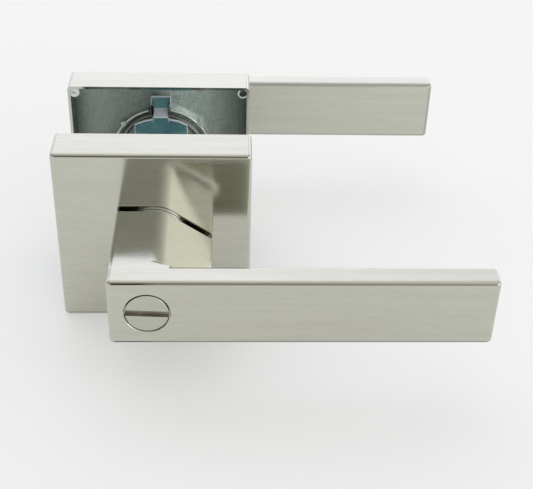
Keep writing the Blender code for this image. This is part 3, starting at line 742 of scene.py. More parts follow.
def hatched_metal(name, tint, rough):
    """Cast and rolled plating with a cross-hatched grain, a painted highlight band right of the middle
    and painted shade towards both sides.
    """
    nodes = new_material(name, Metallic=1.0)
    place = nodes.add("TexCoord", output="Object")
    across = nodes.add("SeparateXYZ", {"Vector": place}, output="X")
    share = nodes.spread(across, rose_low.x, rose_high.x)
    # The painted highlight band across X, with painted shade towards both sides.
    colours = [[level * part for part in tint] for level in HIGHLIGHT_BAND_LEVELS]
    band = nodes.ramp(share, list(zip(HIGHLIGHT_BAND_PLACES, colours)))
    coarse, close = HATCHING
    warp = streaks(nodes, coarse, close)
    weft = streaks(nodes, close, coarse)
    woven = nodes.add("Math", {0: warp, 1: weft}, operation="ADD")
    mottle = nodes.spread(woven, *WOVEN_SPAN, *WOVEN_SHADE)
    shade = nodes.add("VectorMath", {0: band, "Scale": mottle}, operation="SCALE")
    nodes.link(shade, "Base Color")
    nodes.link(between(nodes, warp, 0.85 * rough, 1.15 * rough), "Roughness")
    relief(nodes, woven, 0.2, GRAIN_HEIGHT)
    return nodes.owner


NICKEL = brushed_metal(
    "satin_nickel", (0.525, 0.525, 0.45), (0.585, 0.585, 0.51), 0.1, 0.35, HAIRLINES, bump=0.1
)
# A lighter copy of the nickel for the neck: painted light, with a little more roughness.
NICKEL_NECK_PAINTED_LIGHT = brushed_metal(
    "satin_nickel_neck_painted_light", (0.56, 0.56, 0.495), (0.62, 0.62, 0.555), 0.13, 0.35, HAIRLINES, bump=0.1
)
# A darker copy of the nickel on the rounded edges that don't lean to the front: painted shade.
EDGE_PAINTED_SHADE = brushed_metal("edge_painted_shade", (0.38, 0.38, 0.34), (0.48, 0.48, 0.43), 0.14, 0.2)
# Painted dark reflection lines on the rounded front edges: on the lever darkest at the heel and
# lighter along X, on the rose even.
LEVER_PAINTED_DARK_LINE = painted_dark_line(
    "lever_painted_dark_line", (0.06, 0.05, 0.045), (0.25, 0.23, 0.19), HEEL + 8 * MM
)
ROSE_PAINTED_DARK_LINE = painted_dark_line(
    "rose_painted_dark_line", (0.06, 0.05, 0.045), (0.19, 0.175, 0.145), rose_low.x - PAINTED_LINE_FADE
)
# The hollow's inside: a painted highlight band and painted shade, and a green tint painted for light
# bounced between the plated walls.
HOLLOW_NICKEL_PAINTED_HIGHLIGHT = hatched_metal("cast_nickel_inside_painted_highlight", (0.92, 1.0, 0.92), 0.5)
# Painted glint: a near-white copy for the neck's nose and the ring's rounded crest. The low roughness
# is real, the brightness is painted.
PAINTED_GLINT = cast_metal("painted_glint_edge", (0.86, 0.88, 0.83), (0.93, 0.95, 0.90), 0.16)
# Painted shade on the hollow's outer walls and in the deep dimples.
PAINTED_SHADE_WALL = cast_metal("painted_shade_wall", (0.16, 0.19, 0.175), (0.30, 0.35, 0.33), 0.45)
# Painted light: a near-white copy for the ring's flat crest and the flat ends that face the door.
PAINTED_LIGHT_RIM = cast_metal("painted_light_rim", (0.88, 0.91, 0.88), (0.95, 0.97, 0.95), 0.55)
HUB_NICKEL = brushed_metal("turned_nickel", (0.62, 0.63, 0.58), (0.72, 0.73, 0.68), 0.2, 0.4)
ZINC = brushed_metal(
    "zinc_plated_steel", (0.20, 0.42, 0.46), (0.36, 0.60, 0.63), 0.42, 0.3, ROLLED_LINES, bump=0.1
)
# Painted light and highlights: near-white, less metallic plating for the tabs' bends and the plate's
# edges.
ZINC_PAINTED_LIGHT = brushed_metal(
    "zinc_painted_light_edge", (0.88, 0.93, 0.93), (0.95, 0.98, 0.98), 0.6, 0.1, ROLLED_LINES, metallic=0.1
)
SPRING = brushed_metal("spring_steel", (0.26, 0.27, 0.26), (0.40, 0.41, 0.40), 0.3, 0.3, DRAWN_LINES)
NICKEL_DISC = brushed_metal("satin_nickel_disc", (0.49, 0.49, 0.42), (0.54, 0.54, 0.47), 0.1, 0.35)
SLOT_FLOOR = cast_metal(
    "slot_floor", (0.24, 0.22, 0.17), (0.54, 0.51, 0.43), 0.55, grain=1400, bump=0.6
)
BLACKENED = cast_metal("blackened_steel", (0.05, 0.05, 0.055), (0.09, 0.09, 0.095), 0.4)
NYLON = moulded_plastic("white_nylon", (0.78, 0.78, 0.74), (0.86, 0.86, 0.83))


# ---- roses


def rose_block():
    """The rose's outer block, rounded all over but for the rim that meets the door."""
    bm = bmesh.new()
    add_box(bm, rose_low, rose_high)
    rounded = [e for e in bm.edges if max(v.co.y for v in e.verts) > FLOOR]
    bevel(bm, rounded, ROSE_ROUND, ROSE_ROUND_STEPS)
    return mesh_of(bm)


def ring_profile(root):
    """(radius, y) points of the ring's wall, from the hollow's floor round its rounded crest."""
    rounding = RING_CREST_ROUND
    crest = RING_TOP + rounding
    outer = (RING_RADIUS - rounding, crest)
    inner = (RING_RADIUS - RING_WALL + rounding, crest)
    profile = [(RING_RADIUS, root)]
    profile += arc(rounding, 0, -90, RING_CREST_STEPS, outer)
    profile += arc(rounding, -90, -180, RING_CREST_STEPS, inner)
    return profile + [(RING_RADIUS - RING_WALL, root)]


def notches_mesh():
    """Two blocks that cut the ring open above and below, for the plate's tabs and the spring's leg."""
    bm = bmesh.new()
    for low_z in (RING_RADIUS - 2 * RING_WALL, -RING_RADIUS - RING_WALL):
        low = (NOTCH_LEFT, RING_TOP - RING_WALL, low_z)
        add_box(bm, low, (NOTCH_RIGHT, FLOOR - WELD, low_z + 3 * RING_WALL))
    return mesh_of(bm)


def sink_profile():
    """(radius, y) points of a countersunk bolt hole through the face and its boss."""
    sink = BOLT_HEAD_RADIUS + GAP
    narrow = BOLT_RADIUS + GAP
    return [
        (0, ROSE_FACE + OVERLAP),
        (sink, ROSE_FACE + OVERLAP),
        (sink, ROSE_FACE - GAP),
        (narrow, ROSE_FACE - BOLT_HEAD_HEIGHT - GAP),
        (narrow, BOSS_TOP - OVERLAP),
        (0, BOSS_TOP - OVERLAP),
    ]


def rose_mesh(side):
    """A thin cast shell with its ring, nubs, bosses and corner posts."""
    low = (-ROSE_INNER, DOOR_FACE - OVERLAP, -ROSE_INNER)
    hollow = box_mesh(low, (ROSE_INNER, FLOOR, ROSE_INNER))
    shell = combined(rose_block(), [hollow], "DIFFERENCE")
    root = FLOOR + OVERLAP
    nubs = []
    for angle in (RING_NUB_ANGLE, 180 - RING_NUB_ANGLE, -RING_NUB_ANGLE, RING_NUB_ANGLE - 180):
        x, z = polar(RING_RADIUS, angle)
        nubs.append(((x, RING_TOP - GAP, z), (x, root, z)))
    bosses = [((x, BOSS_TOP, 0), (x, root, 0)) for x in (-BOLT_PLACE, BOLT_PLACE)]
    places = (-CORNER_POST_PLACE, CORNER_POST_PLACE)
    corners = [(x, z) for x in places for z in places]
    posts = [((x, DOOR_FACE + GAP, z), (x, root, z)) for x, z in corners]
    added = [
        turned_mesh(ring_profile(root), closed=True),
        cylinders_mesh(RING_NUB_RADIUS, nubs, NUB_STEPS),
        cylinders_mesh(BOSS_RADIUS, bosses, BOSS_STEPS),
        cylinders_mesh(CORNER_POST_RADIUS, posts, POST_STEPS),
    ]
    shell = combined(shell, added, "UNION")

    dimples = []
    for x, (radius, depth) in zip(places, (DIMPLE_LEFT, DIMPLE_RIGHT)):
        ends = [((x, DOOR_FACE - OVERLAP, z), (x, DOOR_FACE + GAP + depth, z)) for z in places]
        dimples.append(cylinders_mesh(radius, ends, DIMPLE_STEPS))
    hole_line = [((0, RING_TOP, 0), (0, ROSE_FACE + OVERLAP, 0))]
    hole = cylinders_mesh(COLLAR_RADIUS + COLLAR_GAP, hole_line, ROUND_STEPS)
    cuts = dimples + [hole, notches_mesh()]
    if side == "outside":
        radius = (post_high.x - post_low.x) / 2 + GAP
        ends = [((x, BOSS_TOP - OVERLAP, 0), (x, FLOOR, 0)) for x in (-BOLT_PLACE, BOLT_PLACE)]
        cuts.append(cylinders_mesh(radius, ends, HOLE_STEPS))
    else:
        cuts += [turned_mesh(sink_profile(), BOSS_STEPS, x) for x in (-BOLT_PLACE, BOLT_PLACE)]
    shell = combined(shell, cuts, "DIFFERENCE")
    return softened(shell, SHELL_CREASE, 2, angle=50)


def rounded_face(polygon):
    """Whether a face belongs to a rounded edge: it points along none of the axes."""
    return max(abs(part) for part in polygon.normal) < SQUARE


def on_painted_line(polygon, span):
    """Whether a face leans from the front to the top or bottom by a span of degrees: a face of a
    painted dark reflection line.
    """
    lean = math.degrees(math.atan2(abs(polygon.normal.z), polygon.normal.y))
    return span[0] < lean < span[1] and abs(polygon.normal.x) < SIDE_LEAN


def front_edge(polygon):
    """Whether a face belongs to one of the rounded edges of the front."""
    return polygon.normal.y > FRONT_LEAN


def in_dimple(at):
    """Whether a place lies in a right corner post's deep dimple, which takes painted shade."""
    beside = math.hypot(at.x - CORNER_POST_PLACE, abs(at.z) - CORNER_POST_PLACE)
    return beside < DIMPLE_RIGHT[0] + WELD and at.y > DOOR_FACE + 2 * GAP


def rose_material(polygon):
    """The material of one face of a rose."""
    at = polygon.center
    reach = max(abs(at.x), abs(at.z))
    upright = abs(polygon.normal.y) < UPRIGHT
    if reach < ROSE_INNER + WELD and DOOR_FACE + WELD < at.y < FLOOR + WELD:
        # Painted shade on the outer walls and in the deep dimples.
        if in_dimple(at) or (upright and reach > ROSE_INNER - 2 * GAP):
            return PAINTED_SHADE_WALL
        # Painted light on the flat faces that face the door up to the ring's crest, a painted glint on
        # the crest's rounding.
        if not upright and at.y < RING_TOP + RING_WALL / 2:
            return PAINTED_LIGHT_RIM if polygon.normal.y < -FLAT else PAINTED_GLINT
        return HOLLOW_NICKEL_PAINTED_HIGHLIGHT
    if rounded_face(polygon) and reach > rose_high.x - ROSE_ROUND:
        # A painted dark reflection line on the rounded front edges.
        if on_painted_line(polygon, ROSE_PAINTED_LINE_SPAN):
            return ROSE_PAINTED_DARK_LINE
        # Painted shade on the other rounded edges.
        if not front_edge(polygon):
            return EDGE_PAINTED_SHADE
    return NICKEL


def make_rose(side):
    materials = [NICKEL, HOLLOW_NICKEL_PAINTED_HIGHLIGHT, PAINTED_SHADE_WALL, PAINTED_LIGHT_RIM, EDGE_PAINTED_SHADE, ROSE_PAINTED_DARK_LINE, PAINTED_GLINT]
    add_piece(side + "_rose", rose_mesh(side), materials, choose=rose_material)


# ---- levers


def neck_outline(grow):
    """The neck's section (x, z), swollen sideways by grow."""
    normal_angle = 90 - FLANK_TILT
    normal = Vector(polar(1, normal_angle))
    shoulder_z = BLADE_HALF - SHOULDER_RADIUS
    shoulder_x = (FLANK_DISTANCE - SHOULDER_RADIUS - normal.y * shoulder_z) / normal.x
    nose_x = NOSE_REACH - NOSE_RADIUS
    flank = arc(SHOULDER_RADIUS + grow, 90, normal_angle, SHOULDER_STEPS, (shoulder_x, shoulder_z))
    flank += arc(NOSE_RADIUS + grow, normal_angle, 0, NOSE_STEPS, (nose_x, 0))
    upper = arc(LEVER_ROUND, 180, 90, HEEL_STEPS, (HEEL + LEVER_ROUND, BLADE_HALF - LEVER_ROUND))
    upper += [(x, min(z, BLADE_HALF)) for x, z in flank]
    return upper + [(x, -z) for x, z in reversed(upper[:-1])]


def neck_mesh():
    """Neck from the seam into the blade, with a fillet at the root."""
    stations = [(NECK_START, 0)]
    for i in range(ROOT_FILLET_STEPS + 1):
        turn = math.pi / 2 * i / ROOT_FILLET_STEPS
        y = BLADE_BACK - ROOT_FILLET * (1 - math.sin(turn))
        stations.append((y, ROOT_FILLET * (1 - math.cos(turn))))
    stations.append((BLADE_BACK + 2 * LEVER_ROUND, ROOT_FILLET))
    bm = bmesh.new()
    loops = []
    for y, grow in stations:
        loops.append([bm.verts.new((x, y, z)) for x, z in neck_outline(grow)])
    for first, second in zip(loops, loops[1:]):
        for i in range(len(first)):
            j = (i + 1) % len(first)
            bm.faces.new((first[i], first[j], second[j], second[i]))
    bm.faces.new(loops[0])
    bm.faces.new(loops[-1])
    return mesh_of(bm)


def lever_bores():
    """The hub's socket, the stem's bore and the disc's pocket with its chamfered mouth."""
    start = NECK_START - OVERLAP
    pocket = DISC_RADIUS + GAP
    profile = [
        (0, start),
        (SPIGOT_RADIUS + GAP, start),
        (SPIGOT_RADIUS + GAP, SOCKET_END),
        (STEM_RADIUS + GAP, SOCKET_END),
        (STEM_RADIUS + GAP, DISC_SEAT),
        (pocket, DISC_SEAT),
        (pocket, BLADE_FRONT - POCKET_CHAMFER),
        (pocket + POCKET_CHAMFER, BLADE_FRONT),
        (pocket + POCKET_CHAMFER, BLADE_FRONT + OVERLAP),
        (0, BLADE_FRONT + OVERLAP),
    ]
    return turned_mesh(profile)


def lever_mesh():
    """Neck and blade in one, bored for the hub, the stem and the set screw."""
    low = (HEEL, BLADE_BACK, -BLADE_HALF)
    high = (TIP, BLADE_FRONT, BLADE_HALF)
    blade = box_mesh(low, high, LEVER_ROUND, LEVER_ROUND_STEPS)

    def at_seam(edge):
        return all(v.co.y < NECK_START + WELD for v in edge.verts)

    neck = softened(neck_mesh(), SEAM_ROUND, SEAM_ROUND_STEPS, chosen=at_seam, angle=50, clamp=False)
    lever = combined(blade, [neck], "UNION")
    below = -BLADE_HALF - OVERLAP
    screw_line = [((0, SET_SCREW_PLACE, below), (0, SET_SCREW_PLACE, -SPIGOT_RADIUS))]
    screw_hole = cylinders_mesh(SET_SCREW_RADIUS + GAP, screw_line, HOLE_STEPS)
    return combined(lever, [lever_bores(), screw_hole], "DIFFERENCE")


def lever_material(polygon):
    """The material of one face of a lever."""
    at = polygon.center
    behind = at.y < BLADE_BACK
    # A painted glint down the neck's nose.
    if behind and polygon.normal.x > NOSE_LEAN and at.x > NOSE_REACH - NOSE_RADIUS:
        return PAINTED_GLINT
    on_edge = at.y > BLADE_BACK and rounded_face(polygon)
    if on_edge and math.hypot(at.x, at.z) > DISC_SURROUND:
        # A painted dark reflection line on the blade's rounded front edges.
        if on_painted_line(polygon, LEVER_PAINTED_LINE_SPAN):
            return LEVER_PAINTED_DARK_LINE
        # Painted shade on the blade's other rounded edges.
        if not front_edge(polygon):
            return EDGE_PAINTED_SHADE
    # The neck takes the lighter copy of the nickel: painted light.
    return NICKEL_NECK_PAINTED_LIGHT if at.y < BLADE_BACK - WELD else NICKEL


def make_lever(side):
    materials = [NICKEL, EDGE_PAINTED_SHADE, LEVER_PAINTED_DARK_LINE, PAINTED_GLINT, NICKEL_NECK_PAINTED_LIGHT]
    add_piece(side + "_lever", lever_mesh(), materials, choose=lever_material)


def make_set_screw(side):
    """A grub screw in the neck's underside, with a hexagon socket."""
    low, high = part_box(side + "_set_screw")
    place = SET_SCREW_PLACE
    screw_line = [((0, place, low.z), (0, place, high.z))]
    socket_line = [((0, place, low.z - OVERLAP), (0, place, low.z + HEX_DEPTH))]
    screw = cylinders_mesh(SET_SCREW_RADIUS, screw_line, HOLE_STEPS)
    socket = cylinders_mesh(HEX_RADIUS, socket_line, HEXAGON)
    screw = softened(combined(screw, [socket], "DIFFERENCE"), SET_SCREW_CREASE, 2)
    add_piece(side + "_set_screw", screw, [BLACKENED])


# ---- return work


def make_hub(side):
    """Collar, flange, grooved shank and square bore, with two stop ears and the spring's lug."""
    profile = [
        (0, SPIGOT_END),
        (SPIGOT_RADIUS, SPIGOT_END),
        (SPIGOT_RADIUS, NECK_START - COLLAR_GAP),
        (COLLAR_RADIUS, NECK_START - COLLAR_GAP),
        (COLLAR_RADIUS, FLANGE_FRONT),
        (FLANGE_RADIUS, FLANGE_FRONT),
        (FLANGE_RADIUS, FLANGE_BACK),
        (SHANK_RADIUS, FLANGE_BACK),
        (SHANK_RADIUS, GROOVE_FRONT),
        (GROOVE_RADIUS, GROOVE_FRONT),
        (GROOVE_RADIUS, GROOVE_BACK),
        (SHANK_RADIUS, GROOVE_BACK),
        (SHANK_RADIUS, SHANK_END),
        (0, SHANK_END),
    ]
    low = (-EAR_HALF_WIDTH, PLATE_BACK, -EAR_RADIUS)
    ears = box_mesh(low, (EAR_HALF_WIDTH, PLATE_FRONT + GAP, EAR_RADIUS))
    offset = WIRE_RADIUS + GAP
    lug = box_mesh(
        (SPRING_LEG_INNER, PLATE_FRONT + GAP, offset),
        (LUG_OUTER, FLANGE_BACK + OVERLAP, offset + LUG_WIDTH),
    )
    lug.transform(Matrix.Rotation(math.radians(-LUG_ANGLE), 4, "Y"))
    hub = combined(turned_mesh(profile), [ears, lug], "UNION")
    half = SPINDLE_HALF + GAP
    bore = box_mesh((-half, SHANK_END - OVERLAP, -half), (half, SPIGOT_END + OVERLAP, half))
    hub = softened(combined(hub, [bore], "DIFFERENCE"), HUB_CREASE, 2)
    add_piece(side + "_hub", hub, [HUB_NICKEL], "turned")


def plate_outline():
    """Ends that fall away on both sides of the tab, and straight sides."""
    right = [
        (PLATE_HALF_WIDTH, PLATE_SHOULDER),
        (PLATE_BROW_HALF_WIDTH, PLATE_BROW),
        (PLATE_TOP_HALF_WIDTH, PLATE_TOP),
    ]
    upper = right + [(-x, z) for x, z in reversed(right)]
    return upper + [(-x, -z) for x, z in upper]


def plate_hole():
    """A round hole with a wide sector above and below, in which the hub's ears swing."""
    wide = EAR_RADIUS + GAP
    narrow = SHANK_RADIUS + GAP
    points = []
    for middle in (90, 270):
        points += arc(wide, middle - EAR_SWING, middle + EAR_SWING, SECTOR_STEPS)
        points += arc(narrow, middle + EAR_SWING, middle + 180 - EAR_SWING, WAIST_STEPS)
    return points


def tab_outline(sign):
    """Side view of one bent tab: off the plate's edge, down a step and out along the floor."""
    line = [
        (TAB_ROOT, PLATE_BACK),
        (TAB_BEND_RADIUS, PLATE_BACK),
        (TAB_BEND_RADIUS + PLATE_THICKNESS, FOOT_BACK),
        (TAB_REACH, FOOT_BACK),
        (TAB_REACH, FOOT_FRONT),
        (TAB_BEND_RADIUS + PLATE_THICKNESS / 3, FOOT_FRONT),
        (TAB_BEND_RADIUS - PLATE_THICKNESS / 3, PLATE_FRONT),
        (TAB_ROOT, PLATE_FRONT),
    ]
    return [(-TAB_HALF_WIDTH, y, sign * z) for z, y in line]


def plate_material(polygon):
    """Painted light on the tabs' bends and painted highlights on every edge: near-white plating there.
    """
    reach = abs(polygon.center.z)
    on_bend = PLATE_TOP - GAP < reach < TAB_BEND_RADIUS + PLATE_THICKNESS
    return ZINC_PAINTED_LIGHT if on_bend or abs(polygon.normal.y) < FLAT else ZINC


def make_spring_plate(side):
    """A plate with a tab bent down at the top and bottom, and a wider foot on each tab."""
    tabs = []
    for sign in (1, -1):
        tabs.append(prism_mesh(tab_outline(sign), (2 * TAB_HALF_WIDTH, 0, 0)))
        near, far = sorted((sign * FOOT_START, sign * TAB_REACH))
        foot = box_mesh((-FOOT_HALF_WIDTH, FOOT_BACK, near), (FOOT_HALF_WIDTH, FOOT_FRONT, far))
        tabs.append(foot)
    plate = plate_mesh([plate_outline(), plate_hole()], PLATE_BACK, PLATE_FRONT)
    plate = combined(plate, tabs, "UNION")
    plate = softened(plate, PLATE_ROUND, PLATE_ROUND_STEPS, angle=25, clamp=False)
    add_piece(side + "_spring_plate", plate, [ZINC, ZINC_PAINTED_LIGHT], choose=plate_material)


def wire_mesh(points, radius):
    """Round wire along a line of points, with flat ends."""
    curve = new_curve("3D", [points], closed=False)
    curve.bevel_depth = radius
    curve.bevel_resolution = WIRE_STEPS
    curve.use_fill_caps = True
    return welded(curve_mesh(curve))


def make_return_spring(side):
    """Two coils: the fixed leg lies in the ring's notch, the free leg presses on the hub's lug."""
    start = math.degrees(math.acos(SPRING_FIXED_X / SPRING_RADIUS))
    end = LUG_ANGLE + 360 * SPRING_TURNS
    points = [(SPRING_FIXED_X, SPRING_FIRST, SPRING_LEG_OUTER)]
    for i in range(SPRING_STEPS + 1):
        share = i / SPRING_STEPS
        x, z = polar(SPRING_RADIUS, start + (end - start) * share)
        points.append((x, SPRING_FIRST + (SPRING_LAST - SPRING_FIRST) * share, z))
    x, z = polar(SPRING_LEG_INNER, end)
    points.append((x, SPRING_LAST, z))
    wire = wire_mesh(points, WIRE_RADIUS)
    add_piece(side + "_return_spring", wire, [SPRING], "turned", angle=60)


def ring_mesh(inner, outer, back, front, rounding):
    """A flat ring with its four edges rounded."""
    low_radius = inner + rounding
    high_radius = outer - rounding
    low_y = back + rounding
    high_y = front - rounding
    profile = []
    for start, centre in (
        (90, (high_radius, high_y)),
        (0, (high_radius, low_y)),
        (-90, (low_radius, low_y)),
        (-180, (low_radius, high_y)),
    ):
        profile += arc(rounding, start, start - 90, RING_ROUND_STEPS, centre)
    return turned_mesh(profile, closed=True)


def open_ring(inner, outer, count):
    """A clip's outline, open at the bottom."""
    bottom = 270
    start = bottom + CLIP_OPENING / 2
    end = bottom + 360 - CLIP_OPENING / 2
    return arc(outer, start, end, count) + arc(inner, end, start, count)


def make_rings(side):
    """Bush, washer and circlip."""
    bush = ring_mesh(COLLAR_RADIUS + GAP, BUSH_OUTER, BUSH_BACK, FLOOR - GAP, BUSH_ROUND)
    add_piece(side + "_bush", bush, [NYLON])
    front = PLATE_BACK - GAP
    back = front - CLIP_THICKNESS
    washer = ring_mesh(SHANK_RADIUS + GAP, WASHER_OUTER, back, front, WASHER_ROUND)
    add_piece(side + "_washer", washer, [ZINC], "turned")
    middle = (GROOVE_BACK + GROOVE_FRONT) / 2
    outline = open_ring(GROOVE_RADIUS + GAP, CIRCLIP_OUTER, CIRCLIP_STEPS)
    clip = plate_mesh([outline], middle - CLIP_THICKNESS / 2, middle + CLIP_THICKNESS / 2)
    add_piece(side + "_circlip", softened(clip, CIRCLIP_CREASE, 2), [SPRING], "turned")


# ---- privacy work


def stem_profile():
    """(radius, y) points of a disc on a stem, with a groove for the clip."""
    groove_front = SOCKET_END - GAP / 2
    groove_back = groove_front - STEM_CLIP_THICKNESS - GAP
    rim = (DISC_RADIUS - DISC_CHAMFER, BLADE_FRONT - DISC_CHAMFER)
    profile = [(0, BLADE_FRONT)]
    profile += arc(DISC_CHAMFER, 90, 0, DISC_CHAMFER_STEPS, rim)
    profile += [
        (DISC_RADIUS, DISC_BACK),
        (STEM_RADIUS, DISC_BACK),
        (STEM_RADIUS, groove_front),
        (STEM_GROOVE_RADIUS, groove_front),
        (STEM_GROOVE_RADIUS, groove_back),
        (STEM_RADIUS, groove_back),
        (STEM_RADIUS, STEM_END),
        (0, STEM_END),
    ]
    return profile


def stem_mesh():
    """A disc on a grooved stem whose end takes the flat rod."""
    low = (-ROD_HALF_WIDTH - GAP, STEM_END - OVERLAP, -ROD_HALF_THICKNESS - GAP)
    high = (ROD_HALF_WIDTH + GAP, ROD_SOCKET_END, ROD_HALF_THICKNESS + GAP)
    return combined(turned_mesh(stem_profile()), [box_mesh(low, high)], "DIFFERENCE")


def tilted(mesh):
    """The mesh turned with the coin slot's small tilt."""
    mesh.transform(Matrix.Rotation(math.radians(SLOT_TILT), 4, "Y"))
    return mesh


def at_slot(edge):
    """Whether an edge of the disc is one of the coin slot's rims."""
    middle = (edge.verts[0].co + edge.verts[1].co) / 2
    return middle.y > BLADE_FRONT - WELD and abs(middle.z) < COIN_SLOT_HALF_WIDTH + WELD


def disc_material(polygon):
    """A rough floor and walls in the coin slot."""
    at = polygon.center
    deep = DISC_BACK + OVERLAP < at.y < BLADE_FRONT - DISC_CHAMFER
    in_slot = deep and math.hypot(at.x, at.z) < DISC_RADIUS - DISC_CHAMFER
    return SLOT_FLOOR if in_slot else NICKEL_DISC


def make_release_disc():
    reach = DISC_RADIUS + OVERLAP
    low = (-reach, BLADE_FRONT - COIN_SLOT_DEPTH, -COIN_SLOT_HALF_WIDTH)
    slot = box_mesh(low, (reach, BLADE_FRONT + OVERLAP, COIN_SLOT_HALF_WIDTH))
    disc = combined(stem_mesh(), [slot], "DIFFERENCE")
    disc = tilted(softened(disc, COIN_SLOT_CREASE, 2, chosen=at_slot))
    add_piece("release_disc", disc, [NICKEL_DISC, SLOT_FLOOR], choose=disc_material)


def make_turn_button():
    """The inside's thumb turn: the same stem and disc with an upright fin."""
    low = (-FIN_HALF_LENGTH, BLADE_FRONT - OVERLAP, -FIN_HALF_WIDTH)
    high = (FIN_HALF_LENGTH, FIN_TOP, FIN_HALF_WIDTH)
    fin = box_mesh(low, high, FIN_ROUND, FIN_ROUND_STEPS)
    add_piece("turn_button", tilted(combined(stem_mesh(), [fin], "UNION")), [NICKEL])


def make_stem_clip(name):
    front = SOCKET_END - GAP
    outline = open_ring(STEM_GROOVE_RADIUS + GAP, STEM_CLIP_OUTER, STEM_CLIP_STEPS)
    clip = plate_mesh([outline], front - STEM_CLIP_THICKNESS, front)
    add_piece(name, tilted(softened(clip, STEM_CLIP_CREASE, 2)), [SPRING], "turned")


def make_lock_rod():
    low = (-ROD_HALF_WIDTH, rod_low.y, -ROD_HALF_THICKNESS)
    high = (ROD_HALF_WIDTH, rod_high.y, ROD_HALF_THICKNESS)
    add_piece("lock_rod", tilted(box_mesh(low, high, ROD_CREASE)), [SPRING], "spindle")


def make_spindle():
    """Square bar with rounded edges, hollow for the rod."""
    far = spindle_high.y + OVERLAP
    bore = cylinders_mesh(SPINDLE_BORE_RADIUS, [((0, -far, 0), (0, far, 0))], BOSS_STEPS)
    bar = box_mesh(spindle_low, spindle_high, SPINDLE_ROUND, SPINDLE_ROUND_STEPS)
    add_piece("spindle", combined(bar, [bore], "DIFFERENCE"), [ZINC], "spindle")


# ---- fasteners


def thread_profile(radius, start, end):
    """(radius, y) points of fine ridges from start down to end."""
    count = int((start - end) / THREAD_PITCH)
    points = []
    for i in range(count):
        crest = start - (i + 0.5) * THREAD_PITCH
        points.append((radius - THREAD_DEPTH, crest + THREAD_PITCH / 2))
        points.append((radius, crest))
    return points


def make_post(name, x):
    """A tube with a blind bore, chamfered at its open end."""
    base = FLOOR - GAP
    bore = BOLT_RADIUS + GAP
    tip = -post_high.y
    profile = [
        (0, base),
        (POST_RADIUS - POST_CHAMFER, base),
        (POST_RADIUS, base - POST_CHAMFER),
        (POST_RADIUS, tip + POST_CHAMFER),
        (POST_RADIUS - POST_CHAMFER, tip),
        (bore + POST_CHAMFER, tip),
        (bore, tip + POST_CHAMFER),
        (bore, POST_BORE_END),
        (0, POST_BORE_END),
    ]
    add_piece(name, turned_mesh(profile, BOSS_STEPS, x), [ZINC], "turned", centre_x=x)


def make_bolt(name, x):
    """A countersunk bolt with a cross recess and a threaded shank."""
    head = ROSE_FACE - GAP
    neck = head - BOLT_HEAD_HEIGHT
    tip = bolt_low.y
    profile = [
        (0, head),
        (BOLT_HEAD_RADIUS - BOLT_HEAD_CHAMFER, head),
        (BOLT_HEAD_RADIUS, head - BOLT_HEAD_CHAMFER),
        (BOLT_RADIUS, neck),
    ]
    profile += thread_profile(BOLT_RADIUS, neck - BOLT_PLAIN_SHANK, tip + BOLT_RADIUS / 2)
    profile += [(BOLT_RADIUS / 2, tip), (0, tip)]
    bottom = head - BOLT_HEAD_HEIGHT / 2
    arms = ((RECESS_HALF_LENGTH, RECESS_HALF_WIDTH), (RECESS_HALF_WIDTH, RECESS_HALF_LENGTH))
    recess = [box_mesh((-wide, bottom, -tall), (wide, head + OVERLAP, tall)) for wide, tall in arms]
    bolt = combined(turned_mesh(profile, HOLE_STEPS), recess, "DIFFERENCE")
    bolt.transform(Matrix.Translation((x, 0, 0)))
    add_piece(name, bolt, [NICKEL], "turned", centre_x=x)


# ---- scene


def make_camera():
    """A camera that would look along +Y at yaw 0, tilted down by its pitch."""
    yaw = math.radians(CAMERA_YAW)
    pitch = math.radians(CAMERA_PITCH)
    roll = math.radians(CAMERA_ROLL)
    forward = Matrix.Rotation(yaw, 3, "Z") @ Vector((0, math.cos(pitch), -math.sin(pitch)))
    level = Matrix.Rotation(yaw, 3, "Z") @ Vector((1, 0, 0))
    upright = level.cross(forward)
    right = math.cos(roll) * level + math.sin(roll) * upright
    up = math.cos(roll) * upright - math.sin(roll) * level
    turn = Matrix((right, up, -forward)).transposed()
    data = bpy.data.cameras.new("camera")
    data.lens = CAMERA_LENS
    data.sensor_width = CAMERA_SENSOR
    data.clip_start = CAMERA_NEAR
    camera = add_object("camera", data)
    camera.matrix_world = Matrix.Translation(CAMERA_PLACE) @ turn.to_4x4()
    bpy.context.scene.camera = camera


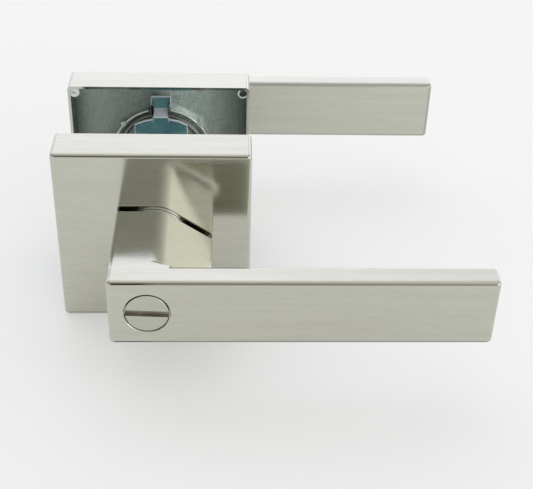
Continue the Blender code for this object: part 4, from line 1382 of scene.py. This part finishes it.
def make_floor():
    """Plain pale paper under the roses, lit a little from itself to stay even."""
    bm = bmesh.new()
    bmesh.ops.create_grid(bm, x_segments=1, y_segments=1, size=STAGE_HALF_SIZE)
    bmesh.ops.translate(bm, verts=bm.verts, vec=(0, 0, rose_low.z - STAGE_DROP))
    floor = add_object("floor", mesh_of(bm))
    paper = new_material("floor_paper", Roughness=STAGE_ROUGH, Base_Color=STAGE_TINT)
    paper.shader.inputs["Emission Color"].default_value = (1, 1, 1, 1)
    paper.shader.inputs["Emission Strength"].default_value = STAGE_GLOW
    floor.data.materials.append(paper.owner)


def compass_stops(levels):
    """Ramp stops for levels given round the compass from +Y, where the ramp begins at -Y."""
    count = len(levels)
    return [(i / count, [levels[(i + count // 2) % count]] * 3) for i in range(count + 1)]


def make_world():
    """A white studio whose brightness is set by direction: bands of elevation round the compass."""
    world = bpy.data.worlds.new("studio")
    bpy.context.scene.world = world
    nodes = Nodes(world, "Background")
    direction = nodes.add("TexCoord", output="Generated")
    part = nodes.node("SeparateXYZ", {"Vector": direction}).outputs
    compass = nodes.add("Math", {0: part["X"], 1: part["Y"]}, operation="ARCTAN2")
    round_way = nodes.spread(compass, -math.pi, math.pi)
    height = nodes.add("Math", {0: part["Z"]}, operation="ARCSINE")
    glow = None
    below = 0
    for elevation, levels in STUDIO_BANDS:
        band = nodes.ramp(round_way, compass_stops(levels))
        if glow:
            rise = nodes.spread(height, math.radians(below), math.radians(elevation))
            band = nodes.mix(rise, glow, band)
        glow = band
        below = elevation
    behind = nodes.spread(part["Y"], 0.0, BACK_TINT_FULL)
    tint = nodes.mix(behind, (1, 1, 1, 1), (*BACK_TINT, 1))
    nodes.link(nodes.mix(1.0, glow, tint, blend_type="MULTIPLY"), "Color")


for half in ("outside", "inside"):
    make_rose(half)
    make_lever(half)
    make_set_screw(half)
    make_hub(half)
    make_return_spring(half)
    make_spring_plate(half)
    make_rings(half)
make_release_disc()
make_turn_button()
make_stem_clip("release_disc_clip")
make_stem_clip("turn_button_clip")
make_lock_rod()
make_spindle()
for word, place in (("left", -BOLT_PLACE), ("right", BOLT_PLACE)):
    make_post("post_" + word, place)
    make_bolt("through_bolt_" + word, place)

make_floor()
make_world()
make_camera()
bpy.context.scene.view_settings.view_transform = "Standard"
